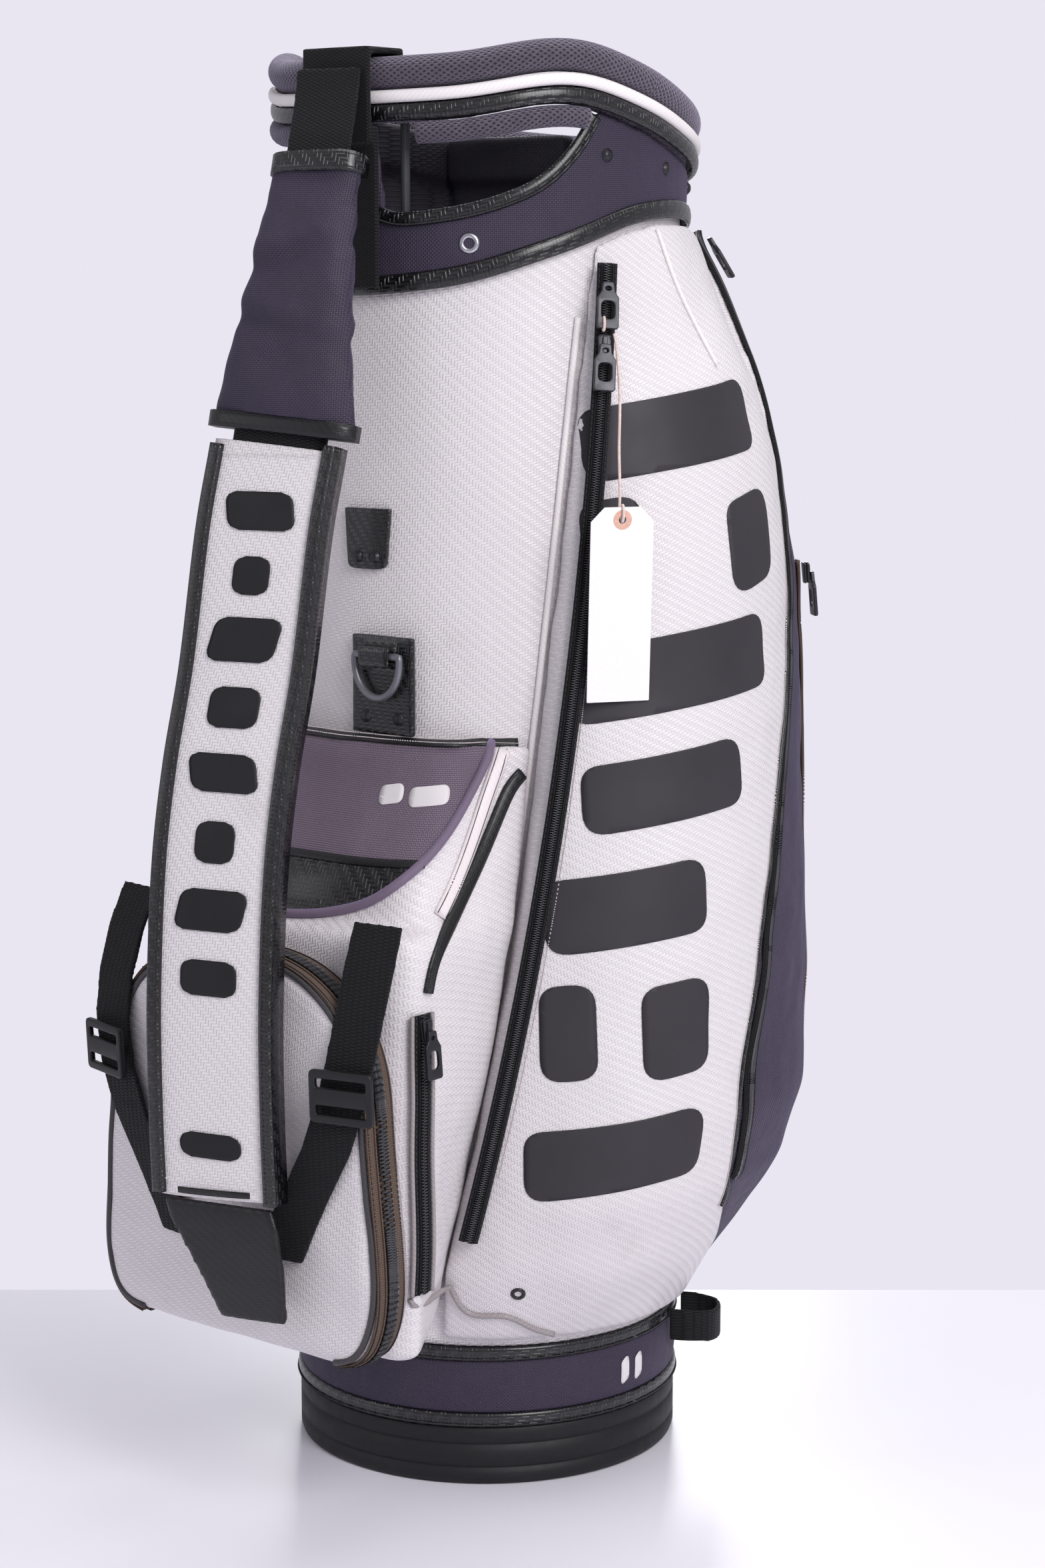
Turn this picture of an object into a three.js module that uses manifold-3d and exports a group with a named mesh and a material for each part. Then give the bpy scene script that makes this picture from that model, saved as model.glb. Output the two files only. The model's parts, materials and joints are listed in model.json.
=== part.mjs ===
// Golf tour bag: a tall carry and cart bag with a cuffed top, side apparel pockets, a ball pocket
// in front, a back pocket, two-slider zips and a padded shoulder strap.
// Millimetres, +Z up. The origin is the middle of the base, on the face it stands on.
// -Y is the front, with the strap and the ball pocket. +X is the right.
// Angles called phi run round the bag from +X towards +Y; "turn" is the angle away from the front.
import * as THREE from 'three';
import Module from 'manifold-3d';
import { mergeVertices } from 'three/addons/utils/BufferGeometryUtils.js';

const wasm = await Module();
wasm.setup();

// ---------------------------------------------------------------- driving dimensions
const GAP = 0.3; // clearance between pieces that touch
const STEPS = 60; // facets round the bag

const BASE_R = 131; // moulded base, outside
const CUP_H = 40;
const CUP_WALL = 3.7;
const CUP_FLOOR = 6;
const CUP_CHAMFER = 3;
const BASE_TRIM_H = 10;
const BASE_BAND_H = 35;
const TRIM_PROUD = 1.3; // how far a bound edge stands out of the cloth next to it

const TUBE_R = 117.5; // inside of the liner
const TUBE_WALL = 3;
const STAY_D = 6;
const STAY_PHI = { stay_front_right: -74, stay_front_left: -106, stay_back: 90 };
const SKIN_T = 3;
const LINER_LAP = 30; // how far liner and skin run up inside the cuff

const CUFF_T = 4.2;
const CUFF_TRIM_H = 12;
const CUFF_TRIM_T = 2.5;
const HAND_START = 9; // turn where each hand opening begins
const HAND_END = 73;

// Heights by turn: middle of the rim's piping, middle of the cuff's trim, lower edge of the hand opening.
const RIM_LINE = [[0, 908], [30, 910], [62, 920], [86, 907], [110, 890], [150, 873], [180, 868]];
const CUFF_LINE = [[0, 791], [28, 796], [60, 817], [90, 839], [106, 841], [140, 832], [180, 820]];
const HAND_LINE = [[9, 836], [18, 832], [35, 837], [49, 847], [58, 859], [66, 878], [73, 903]];

const ROLL_D = 21; // padded rim
const RIM_R = 133; // radius of the rim roll's middle
const PIPING_H = 8.2;
const PIPING_OUT = 143;
const BINDING_H = 11;
const BINDING_OUT = 141.5;
const RIM_FRAME_IN = 119;
const RIM_FRAME_OUT = 133.7;
const GRIP_D = 14;
const GRIP_R = 136;
const GRIP_PHI = { grip_roll_right: [-68, -22], grip_roll_left: [-103, -158] };

const DIVIDER_BAR = 12;
const DIVIDER_BAR_H = 28;
const DIVIDER_CLOTH = 3;
const DIVIDER_Y = 42; // the two cross bars stand this far in front of and behind the middle
const DIVIDER_TOP_FRONT = 898;
const DIVIDER_TOP_BACK = 862;

const SIDE_BOTTOM = 99;
const SIDE_LEVEL_TOP = 847; // height that the pocket's outline is read at, at its top
const ZIP_LOWEST = 135; // below this the pocket's front edge runs straight down
const SIDE_EDGE = 12; // from the front zip's line to the pocket's front edge
const SIDE_EDGE_STEP = 6;
const SIDE_CROWN = 11;
const REAR_RECESS = 3;
const SIDE_CLEAR = 0.6; // between a side pocket and the pockets in front of it
const SINK = 5; // pockets start this far inside the skin and are cut back to it
const LEAST = 4; // least that a pocket's front stands off the skin
const PROUD_STEP = 1;

// The rear edge of a side pocket: its angle and its radius, by height.
const REAR_PHI = [[99, 30], [127, 28.6], [185, 7], [257, 4.8], [328, 8.9], [468, 20], [604, 35], [835, 38]];
const REAR_R = [[99, 138], [127, 152], [185, 191], [257, 207], [400, 209], [600, 205], [700, 194],
  [790, 160], [835, 139]];
const SIDE_FULLNESS = [[99, 0.05], [150, 0.8], [188, 1], [740, 1], [847, 0]]; // by height

const ZIP_TAPE_W = 13;
const ZIP_TAPE_T = 1.6;
const ZIP_TOP = { r: 140, phi: -17.2, z: 795 };
const ZIP_MIDDLE = { r: 164.7, phi: -33.6, z: 480 };
const ZIP_BOTTOM = { r: 159.3, phi: -53.9, z: 188 };
const ZIP_FACING = -42; // phi that the front zip's tape looks along
const TAPE_LIFT = 4; // tape's back, above the zip line
const TAPE_PAST = 10; // tape beyond each end of the zip

const SLIDER = { w: 9, l: 15, t: 5, bevel: 0.8 };
const PULLER = { w: 14, l: 30, t: 2.6, neck: 8, shoulder: 8, corner: 3 };
const PULL_LIFT = 0.8; // from a slider up to its pull's hinge, so that the pull can turn past level
const SLIDER_STOP = 4; // from the end of a side zip to its upper slider
const SLIDER_PITCH = 39; // between the two sliders of a side zip
const BACK_ZIP = { phi: 47, z: 596, off: 5, facing: 49 };
const REAR_PULL = { r: 150, phi: 39.5, z: 822, facing: 50, tilt: 0.43 };

const POD_W = 119; // half width of the ball pocket's housing
const POD_D = 221;
const POD_BOTTOM = 118;
const POD_TOP = 395;
const POD_CORNER = 14; // cut off each front corner
const VALUABLES_TOP = 503;
const BALL_DEPTH = 27; // from the housing's front to the edge of the ball pocket's front
const BALL_D = POD_D + BALL_DEPTH;
const ACCESSORY = { y: 18 - POD_D, z: 335 }; // slider of the zip on each side of the housing
const BALL_ZIP = { y: -15 - POD_D, z: 298, inset: 7 }; // its slider, and the pocket side's inset there
const BALL_HALF = 120;
const BALL_BOTTOM = 123;
const BALL_TOP = 378;
const BALL_CROWN = 4;
const BALL_BEVEL = 8;
const BALL_FOOT = { inset: 34, rise: 50 }; // rounded lower corners
const BALL_SHOULDER = { inset: 10, share: 0.72 }; // where its sides start to arch in
const BALL_ARCH = { inset: 20, drop: 25, share: 0.55 };
const CHEST_SHAPE = [[POD_TOP, 0.8], [450, 0.4], [VALUABLES_TOP, 0.13]]; // squareness by height

const BACK_D = 182;
const BACK_HALF = 175;
const BACK_CORNER = 5;
const BACK_TOP = 652;
const BACK_TILT_PHI = 45; // from here on the back pocket is a flat-backed box
const BACK_ROUND_PHI = 80; // and by here its back is as full as it gets
const BACK_EDGE = 1.3; // degrees between a side pocket and what is behind it
const BACK_PANEL_TOP = 834;
// Radius of the back at BACK_TILT_PHI, and how fully its flat back stands out, both by height.
const CORNER_R = [[99, 138], [127, 154], [158, 186], [202, 209], [236, 221], [306, 222], [491, 218],
  [582, 216], [652, 204], [700, 193], [790, 160], [835, 139]];
const BACK_FULLNESS = [[99, 0.04], [140, 0.35], [205, 1], [620, 1], [672, 0.2], [720, 0.04], [835, 0]];

const BRACKET_X = 2; // middle of the strap's bracket
const BRACKET_CLEAR = 2; // between the bracket and the rim
const STRAP_YAW = 14; // the strap faces this much towards +X
const STRAP_W = 92;
const STRAP_T = 15;
const PAD_T = 21;
const PAD_W_TOP = 62;
const PAD_W_BOTTOM = 104;
const WEB_W = 48;
const WEB_T = 3;
const TAB_T = 6;
const TAB = { w: 46, wTop: 78, 
  line: [
    [38, -BALL_D - 25, 150], [33, -BALL_D - 31, 180],
    [23, -BALL_D - 35, 210], [18, -BALL_D - 35.3, 224],
  ] };
// Middle line of the strap, from its top to its lower end, and the heights where its pieces end.
const STRAP_LINE = [
  [3, -157, 912], [9, -172, 876], [14, -190, 820], [15, -203, 765],
  [13, -215, 700], [11, -229, 640], [9, -243, 557], [8, -BALL_D - 10, 495],
  [9, -BALL_D - 22, 433], [13, -BALL_D - 32, 351],
  [16, -BALL_D - 35, 280], [18, -BALL_D - 35, 228],
];
const PAD_LOW = 702;
const PAD_HIGH = 872;
const WHITE_HIGH = 694;
const WHITE_LOW = 226;
const WEB_END = { under: 905, reach: 11, z: 926 }; // where the top web turns in to the bracket
const RIGHT_WEB = [
  [44, -BALL_D - 8, 186], [62, -BALL_D - 9, 222], [86, -BALL_D - 10, 262],
  [103, -BALL_D - 8, 313], [107, 3 - BALL_D, 362], [104, 21 - BALL_D, 404],
];
const LOWER_WEB_W = 36;
const LOWER_WEB_YAW = 8;
const BRACKET = { wall: 4, low: 880, lip: 11, stripFrom: 2, stripTo: 28, stripLow: 790 };

const RING_D = 5; // bar of the towel ring
const RING_W = 42;
const RING_H = 27;
const TOWEL = { x: 26, off: 2.8, z: 556, w: 52, h: 64, t: 5, fold: 12, barOut: 7, play: 0.8 };
const HANDLE = { phi: 26, z: 85, w: 22, t: 3, half: 20, depth: 30 };

const TAG = { w: 42, l: 124, t: 0.9, clip: 9, hole: 5, holeDown: 8, facing: -32, tilt: 0.06 };
const STRING_D = 1.8;
const STRING_FROM = { across: 4.6, gap: 1 }; // from the middle and the end of the upper pull
const STRING_ROUTE = [[0, 0, 0], [0.8, 0.9, -5], [3, 0.6, -20], [6.4, -1.9, -42], [10.6, -7.9, -72],
  [15, -12.6, -95], [16.5, -14.8, -107], [16.9, -15.1, -115]];

// ---------------------------------------------------------------- helpers
const rad = THREE.MathUtils.degToRad;
const deg = THREE.MathUtils.radToDeg;
const lerp = THREE.MathUtils.lerp;
const V = (x, y, z) => new THREE.Vector3(x, y, z);
const polar = (r, phi, z) => V(r * Math.cos(rad(phi)), r * Math.sin(rad(phi)), z);
const turnOf = (phi) => Math.abs(((phi + 270) % 360) - 180);

/** A smooth curve y(x) through a few points, with no overshoot. */
function profile(points) {
  const n = points.length;
  const slope = (i) => (points[i + 1][1] - points[i][1]) / (points[i + 1][0] - points[i][0]);
  const tangents = points.map((_, i) => {
    if (i === 0 || i === n - 1) return 0;
    const a = slope(i - 1);
    const b = slope(i);
    return a * b <= 0 ? 0 : (2 * a * b) / (a + b);
  });
  return (x) => {
    if (x <= points[0][0]) return points[0][1];
    if (x >= points[n - 1][0]) return points[n - 1][1];
    let i = 0;
    while (x > points[i + 1][0]) i += 1;
    const h = points[i + 1][0] - points[i][0];
    const s = (x - points[i][0]) / h;
    const s2 = s * s;
    const s3 = s2 * s;
    return points[i][1] * (2 * s3 - 3 * s2 + 1) + points[i + 1][1] * (3 * s2 - 2 * s3)
      + h * (tangents[i] * (s3 - 2 * s2 + s) + tangents[i + 1] * (s3 - s2));
  };
}

/** A closed body between two grids of points, outer and inner; round a ring when closed. */
function shell(nu, nv, outer, inner, closed = false) {
  const columns = closed ? nu : nu + 1;
  const rows = nv + 1;
  const xyz = [];
  for (const side of [outer, inner]) {
    for (let i = 0; i < columns; i += 1) {
      for (let j = 0; j < rows; j += 1) xyz.push(...side(i / nu, j / nv).toArray());
    }
  }
  const index = [];
  const O = (i, j) => (i % columns) * rows + j;
  const I = (i, j) => columns * rows + O(i, j);
  const quad = (a, b, c, d) => index.push(a, b, c, a, c, d);
  for (let i = 0; i < nu; i += 1) {
    for (let j = 0; j < nv; j += 1) {
      quad(O(i, j), O(i + 1, j), O(i + 1, j + 1), O(i, j + 1));
      quad(I(i, j), I(i, j + 1), I(i + 1, j + 1), I(i + 1, j));
    }
    quad(O(i, 0), I(i, 0), I(i + 1, 0), O(i + 1, 0));
    quad(O(i, nv), O(i + 1, nv), I(i + 1, nv), I(i, nv));
  }
  for (let j = 0; j < nv && !closed; j += 1) {
    quad(O(0, j), O(0, j + 1), I(0, j + 1), I(0, j));
    quad(O(nu, j), I(nu, j), I(nu, j + 1), O(nu, j + 1));
  }
  return geometryOf(xyz, index);
}

function geometryOf(xyz, index) {
  const geometry = new THREE.BufferGeometry();
  geometry.setAttribute('position', new THREE.Float32BufferAttribute(xyz, 3));
  geometry.setIndex(index);
  return geometry;
}

/** A closed loop of sections: section holds [r, dz] pairs, anticlockwise, round the whole bag. */
function hoop(section, lift, steps = STEPS) {
  const xyz = [];
  const index = [];
  const n = section.length;
  for (let i = 0; i < steps; i += 1) {
    const phi = (360 * i) / steps;
    for (const [r, dz] of section) xyz.push(...polar(r, phi, lift(phi) + dz).toArray());
    for (let k = 0; k < n; k += 1) {
      const [a, b] = [i * n + k, ((i + 1) % steps) * n + k];
      const [c, d] = [((i + 1) % steps) * n + ((k + 1) % n), i * n + ((k + 1) % n)];
      index.push(a, b, c, a, c, d);
    }
  }
  return geometryOf(xyz, index);
}

const circle = (r, d, dz, sides) => Array.from({ length: sides }, (_, k) => {
  const a = (2 * Math.PI * k) / sides;
  return [r + (d / 2) * Math.cos(a), dz + (d / 2) * Math.sin(a)];
});
const block = (r0, r1, z0, z1) => [[r0, z0], [r1, z0], [r1, z1], [r0, z1]];

/** A round tube along a smooth curve. */
function tube(points, d, sides, steps) {
  const section = new THREE.Shape(circle(0, d, 0, sides).map(([x, y]) => new THREE.Vector2(x, y)));
  const extrudePath = new THREE.CatmullRomCurve3(points);
  return new THREE.ExtrudeGeometry(section, { steps, extrudePath });
}

/** A flat strap through points, facing out at a yaw; its width may change along it. */
function ribbon(points, width, thickness, yaw, steps, lift = 0) {
  const path = new THREE.CatmullRomCurve3(points);
  const across = polar(1, yaw, 0);
  const at = (side) => (u, v) => {
    const out = across.clone().cross(path.getTangentAt(v)).normalize();
    return path.getPointAt(v).addScaledVector(across, (u - 0.5) * width(v))
      .addScaledVector(out, lift + (side * thickness) / 2);
  };
  return shell(1, steps, at(1), at(-1));
}

function plate(outline, depth, bevel = 0) {
  const shape = new THREE.Shape(outline.map(([x, y]) => new THREE.Vector2(x, y)));
  const bevelSpec = { bevelThickness: bevel, bevelSize: bevel, bevelOffset: -bevel, bevelSegments: 2 };
  const bevelEnabled = bevel > 0;
  const geometry = new THREE.ExtrudeGeometry(shape, { depth: depth - 2 * bevel, bevelEnabled, ...bevelSpec });
  return geometry.translate(0, 0, bevel);
}

/** Swaps right and left. */
function mirrored(geometry) {
  const copy = geometry.index ? geometry.clone() : mergeVertices(bare(geometry));
  copy.scale(-1, 1, 1);
  const index = copy.index;
  for (let i = 0; i < index.count; i += 3) {
    const a = index.getX(i);
    index.setX(i, index.getX(i + 1));
    index.setX(i + 1, a);
  }
  return copy;
}

function bare(geometry) {
  const copy = geometry.clone();
  copy.deleteAttribute('normal');
  copy.deleteAttribute('uv');
  return copy;
}

function toManifold(geometry) {
  const merged = mergeVertices(bare(geometry), 1e-4);
  const vertProperties = new Float32Array(merged.attributes.position.array);
  const triVerts = new Uint32Array(merged.index.array);
  return new wasm.Manifold(new wasm.Mesh({ numProp: 3, vertProperties, triVerts }));
}

function fromManifold(manifold) {
  const { vertProperties, triVerts } = manifold.getMesh();
  return geometryOf(vertProperties, Array.from(triVerts));
}

const join = (...pieces) => fromManifold(pieces.map(toManifold).reduce((a, b) => a.add(b)));
const cut = (piece, ...tools) => fromManifold(
  tools.map(toManifold).reduce((a, b) => a.subtract(b), toManifold(piece)),
);
const trimTo = (piece, tool) => fromManifold(toManifold(piece).intersect(toManifold(tool)));

// ---------------------------------------------------------------- layers and outlines
const cupIn = BASE_R - CUP_WALL;
const tubeOut = TUBE_R + TUBE_WALL;
const stayR = tubeOut + GAP + STAY_D / 2;
const skinIn = tubeOut + STAY_D + 2 * GAP;
const skinOut = skinIn + SKIN_T;
const bodyR = skinOut + GAP; // pockets and cuff sit on this radius
const cuffOut = bodyR + CUFF_T;

const trimLow = CUP_H + GAP;
const bandLow = trimLow + BASE_TRIM_H + GAP;
const trimHigh = bandLow + BASE_BAND_H + GAP;
const skinLow = trimHigh + BASE_TRIM_H + GAP;

const rimLine = profile(RIM_LINE);
const cuffLine = profile(CUFF_LINE);
const handLine = profile(HAND_LINE);
const rimAt = (phi) => rimLine(turnOf(phi));
const cuffAt = (phi) => cuffLine(turnOf(phi)); // middle of the trim on the cuff's lower edge
const underRim = (phi) => rimAt(phi) - PIPING_H / 2 - BINDING_H - 2 * GAP;

/** The front zip of a side pocket: an arc of a circle through three points. */
function zipArc() {
  const [a, b, c] = [ZIP_TOP, ZIP_MIDDLE, ZIP_BOTTOM].map((p) => polar(p.r, p.phi, p.z));
  const ab = b.clone().sub(a);
  const ac = c.clone().sub(a);
  const axis = ab.clone().cross(ac);
  const centre = a.clone()
    .addScaledVector(axis.clone().cross(ab), ac.lengthSq() / (2 * axis.lengthSq()))
    .addScaledVector(ac.clone().cross(axis), ab.lengthSq() / (2 * axis.lengthSq()));
  axis.normalize();
  const radius = a.distanceTo(centre);
  const start = a.clone().sub(centre).divideScalar(radius);
  const side = axis.clone().cross(start);
  const angleOf = (p) => Math.atan2(p.clone().sub(centre).dot(side), p.clone().sub(centre).dot(start));
  const out = (angle) => start.clone().multiplyScalar(Math.cos(angle)).addScaledVector(side, Math.sin(angle));
  const point = (angle) => centre.clone().addScaledVector(out(angle), radius);
  return { centre, axis, radius, sweep: angleOf(c), middle: angleOf(b), out, point };
}
const ARC = zipArc();

/** Axes of the zip at an angle of its arc: across the tape, up along it, and out of it. */
function zipFrame(angle) {
  const looks = (a) => {
    const up = ARC.axis.clone().cross(ARC.out(a)).negate();
    return { up, tilt: (out) => up.clone().cross(out.clone().cross(up)).normalize() };
  };
  const middle = looks(ARC.middle);
  const facing = middle.tilt(polar(1, ZIP_FACING, 0));
  const alongOut = facing.dot(ARC.out(ARC.middle));
  const alongAxis = facing.dot(ARC.axis);
  const out = ARC.out(angle).multiplyScalar(alongOut).addScaledVector(ARC.axis, alongAxis).normalize();
  const { up } = looks(angle);
  return { out, up, across: up.clone().cross(out) };
}

const zipAtHeight = (z) => {
  let [low, high] = [-0.12, ARC.sweep + 0.1];
  for (let i = 0; i < 40; i += 1) {
    const mid = (low + high) / 2;
    if (ARC.point(mid).z > z) low = mid;
    else high = mid;
  }
  return ARC.point(low);
};

const rearPhi = profile(REAR_PHI);
const rearR = profile(REAR_R);
const sideFullness = profile(SIDE_FULLNESS);
const sideTop = (phi) => cuffAt(phi) - CUFF_TRIM_H / 2 - PROUD_STEP;
const sideLevel = (up) => lerp(SIDE_BOTTOM, SIDE_LEVEL_TOP, up);

/** A point on a side pocket: across runs from its front edge to its rear edge, up from 0 to 1. */
function sidePoint(across, up, grow) {
  const z = sideLevel(up);
  const zip = zipAtHeight(Math.max(z, ZIP_LOWEST));
  const zipR = Math.hypot(zip.x, zip.y);
  const edge = deg(Math.atan2(zip.y, zip.x) - SIDE_EDGE / zipR);
  const spread = deg(grow / zipR) * 2 * (across - 0.5);
  const phi = lerp(edge, rearPhi(z), across) + spread;
  const frontR = lerp(bodyR + LEAST, zipR - SIDE_EDGE_STEP, sideFullness(z));
  const crown = SIDE_CROWN * Math.sin(Math.PI * across) * sideFullness(z);
  const r = lerp(frontR, rearR(z), across) + crown + grow;
  return polar(r, phi, lerp(SIDE_BOTTOM - grow, sideTop(phi) + grow, up));
}

/** The bag's round core, which every pocket is cut back to. */
function bodyCore() {
  const height = 2 * RIM_LINE[0][1];
  return new THREE.CylinderGeometry(bodyR, bodyR, height, STEPS).rotateX(Math.PI / 2);
}
const onBody = (point, r = bodyR - SINK) => {
  const phi = deg(Math.atan2(point.y, point.x));
  return polar(r, phi, point.z);
};

// ---------------------------------------------------------------- base and tube
function baseCup() {
  const outline = [[0, 0], [BASE_R - CUP_CHAMFER, 0], [BASE_R, CUP_CHAMFER], [BASE_R, CUP_H], [cupIn, CUP_H],
    [cupIn, CUP_FLOOR], [0, CUP_FLOOR]];
  const points = outline.map(([r, z]) => new THREE.Vector2(r, z));
  return new THREE.LatheGeometry(points, STEPS).rotateX(Math.PI / 2);
}

const baseTrim = (z) => hoop(block(cupIn, BASE_R + TRIM_PROUD, 0, BASE_TRIM_H), () => z);
const baseBand = () => hoop(block(cupIn, BASE_R, 0, BASE_BAND_H), () => bandLow);

const pipe = (r0, r1, low, high) => shell(
  STEPS, 1,
  (u, v) => polar(r1, 360 * u, v ? high(360 * u) : low),
  (u, v) => polar(r0, 360 * u, v ? high(360 * u) : low),
  true,
);
const lapTop = (phi) => Math.min(cuffAt(phi) + LINER_LAP, underRim(phi) - GAP);
const liner = () => pipe(TUBE_R, tubeOut, CUP_FLOOR + GAP, lapTop);
const skin = () => pipe(skinIn, skinOut, skinLow, lapTop);

function stay(phi) {
  const low = CUP_FLOOR + GAP;
  const height = underRim(phi) - GAP - low;
  const rod = new THREE.CylinderGeometry(STAY_D / 2, STAY_D / 2, height, 12);
  return rod.rotateX(Math.PI / 2).translate(...polar(stayR, phi, low + height / 2).toArray());
}

// ---------------------------------------------------------------- cuff, rim and divider
function cuffSkirt() {
  const top = (phi) => {
    const turn = turnOf(phi);
    const open = turn > HAND_START && turn < HAND_END;
    return open ? Math.min(handLine(turn), underRim(phi)) : underRim(phi);
  };
  const low = (phi) => cuffAt(phi) - CUFF_TRIM_H / 2;
  const side = (r) => (u, v) => {
    const phi = 360 * u;
    return polar(r, phi, lerp(low(phi), top(phi), v));
  };
  return shell(2 * STEPS, 1, side(cuffOut), side(bodyR), true);
}

const cuffTrim = () => hoop(
  block(cuffOut + GAP, cuffOut + GAP + CUFF_TRIM_T, -CUFF_TRIM_H / 2, CUFF_TRIM_H / 2),
  cuffAt,
);
const rimRoll = () => hoop(circle(RIM_R, ROLL_D, PIPING_H / 2 + GAP + ROLL_D / 2, 8), rimAt);
const rimPiping = () => hoop(block(RIM_FRAME_OUT + GAP, PIPING_OUT, -PIPING_H / 2, PIPING_H / 2), rimAt);
const bindingTop = -PIPING_H / 2 - GAP;
const bindingLow = bindingTop - BINDING_H;
const rimBinding = () => hoop(block(RIM_FRAME_OUT + GAP, BINDING_OUT, bindingLow, bindingTop), rimAt);
const rimFrame = () => hoop(block(RIM_FRAME_IN, RIM_FRAME_OUT, bindingLow, PIPING_H / 2), rimAt);

function gripRoll(from, to) {
  const steps = 12;
  const points = Array.from({ length: steps + 1 }, (_, i) => {
    const phi = lerp(from, to, i / steps);
    return polar(GRIP_R, phi, underRim(phi) - GAP - GRIP_D / 2);
  });
  return tube(points, GRIP_D, 8, 14);
}

/** One divider wall: a padded bar with a cloth hanging from it down to the base. */
function dividerWall(from, to) {
  const along = to.clone().sub(from);
  const length = along.length();
  const top = (s) => {
    const y = lerp(from.y, to.y, s / length);
    return lerp(DIVIDER_TOP_FRONT, DIVIDER_TOP_BACK, (y + tubeOut) / (2 * tubeOut));
  };
  const wall = (low, high, thickness) => plate(
    [[0, low(0)], [length, low(length)], [length, high(length)], [0, high(0)]],
    thickness,
  ).translate(0, 0, -thickness / 2);
  const bar = wall((s) => top(s) - DIVIDER_BAR_H, top, DIVIDER_BAR);
  const cloth = wall(() => CUP_FLOOR + 2, (s) => top(s) - DIVIDER_BAR_H / 2, DIVIDER_CLOTH);
  const turn = Math.atan2(along.y, along.x);
  return join(bar, cloth).rotateX(Math.PI / 2).rotateZ(turn).translate(from.x, from.y, 0);
}

function dividers() {
  const reach = TUBE_R - 1;
  const end = Math.sqrt(reach ** 2 - (DIVIDER_Y + DIVIDER_BAR / 2) ** 2);
  const start = DIVIDER_BAR / 2 + GAP;
  const walls = { divider_spine: [V(0, -reach + 1, 0), V(0, reach - 1, 0)] };
  for (const [name, y] of [['front', -DIVIDER_Y], ['rear', DIVIDER_Y]]) {
    walls[`divider_${name}_right`] = [V(start, y, 0), V(end, y, 0)];
    walls[`divider_${name}_left`] = [V(-start, y, 0), V(-end, y, 0)];
  }
  return Object.entries(walls).map(([name, [from, to]]) => [name, dividerWall(from, to)]);
}

// ---------------------------------------------------------------- pockets
const sideBlank = (grow = 0) => shell(
  12, 14,
  (u, v) => sidePoint(u, v, grow),
  (u, v) => onBody(sidePoint(u, v, grow)),
);
const sidePocket = () => cut(sideBlank(), bodyCore());

const superR = (phi, a, b, n) => (
  (Math.abs(Math.cos(rad(phi))) / a) ** n + (Math.abs(Math.sin(rad(phi))) / b) ** n
) ** (-1 / n);

/** Right half of the pod's plan at a height, from the middle of its front back to the side pocket. */
function podPlan(z) {
  const edge = sidePoint(0, (z - SIDE_BOTTOM) / (SIDE_LEVEL_TOP - SIDE_BOTTOM), 0);
  const rear = onBody(edge, Math.hypot(edge.x, edge.y) - PROUD_STEP).setZ(0);
  const corner = V(POD_W, -POD_D + POD_CORNER, 0);
  const front = V(POD_W - POD_CORNER, -POD_D, 0);
  const middle = V(0, -POD_D, 0);
  return [middle, middle.clone().lerp(front, 0.35), middle.clone().lerp(front, 0.7), front, corner,
    corner.clone().lerp(rear, 0.5), rear];
}

/** A front solid on the tube, hugging it at squareness 0 and filling the pod's plan at 1. */
function frontSolid(low, high, squareness, nv) {
  const half = podPlan(low).length - 1;
  const outer = (u, v) => {
    const z = lerp(low, high, v);
    const i = Math.round((2 * u - 1) * half);
    const square = podPlan(z)[Math.abs(i)];
    const point = i < 0 ? V(-square.x, square.y, z) : V(square.x, square.y, z);
    return onBody(point, lerp(bodyR + LEAST, Math.hypot(point.x, point.y), squareness(z)));
  };
  return shell(2 * half, nv, outer, (u, v) => onBody(outer(u, v)));
}

const grownSides = () => {
  const grown = sideBlank(SIDE_CLEAR);
  return [grown, mirrored(grown)];
};
const pocketOf = (blank) => cut(blank, bodyCore(), ...grownSides());
const chestShape = profile(CHEST_SHAPE);
const frontPod = () => pocketOf(frontSolid(POD_BOTTOM, POD_TOP - GAP, () => 1, 6));
const valuablesPocket = () => pocketOf(frontSolid(POD_TOP, VALUABLES_TOP, chestShape, 4));

function ballPocket() {
  const shape = new THREE.Shape();
  const [half, low, high] = [BALL_HALF, BALL_BOTTOM, BALL_TOP];
  const { inset, rise } = BALL_FOOT;
  const shoulder = [half - BALL_SHOULDER.inset, lerp(low, high, BALL_SHOULDER.share)];
  const arch = [half - BALL_ARCH.inset, high - BALL_ARCH.drop];
  shape.moveTo(-half + inset, low);
  shape.lineTo(half - inset, low);
  shape.quadraticCurveTo(half, low, half, low + rise);
  shape.lineTo(...shoulder);
  shape.bezierCurveTo(...arch, half * BALL_ARCH.share, high, 0, high);
  shape.bezierCurveTo(-half * BALL_ARCH.share, high, -arch[0], arch[1], -shoulder[0], shoulder[1]);
  shape.lineTo(-half, low + rise);
  shape.quadraticCurveTo(-half, low, -half + inset, low);
  const depth = BALL_D + BALL_CROWN - POD_D - GAP;
  const size = BALL_BEVEL;
  const bevel = { bevelThickness: size, bevelSize: size, bevelOffset: -size, bevelSegments: 2 };
  const solid = new THREE.ExtrudeGeometry(shape, { depth: depth - size, curveSegments: 8, ...bevel });
  const raised = solid.rotateX(Math.PI / 2).translate(0, -POD_D - GAP, 0);
  const keep = new THREE.BoxGeometry(2 * half + 2 * size, depth, 2 * high);
  return trimTo(raised, keep.translate(0, -POD_D - GAP - depth / 2, high));
}

const cornerR = profile(CORNER_R);
const backFullness = profile(BACK_FULLNESS);

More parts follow.
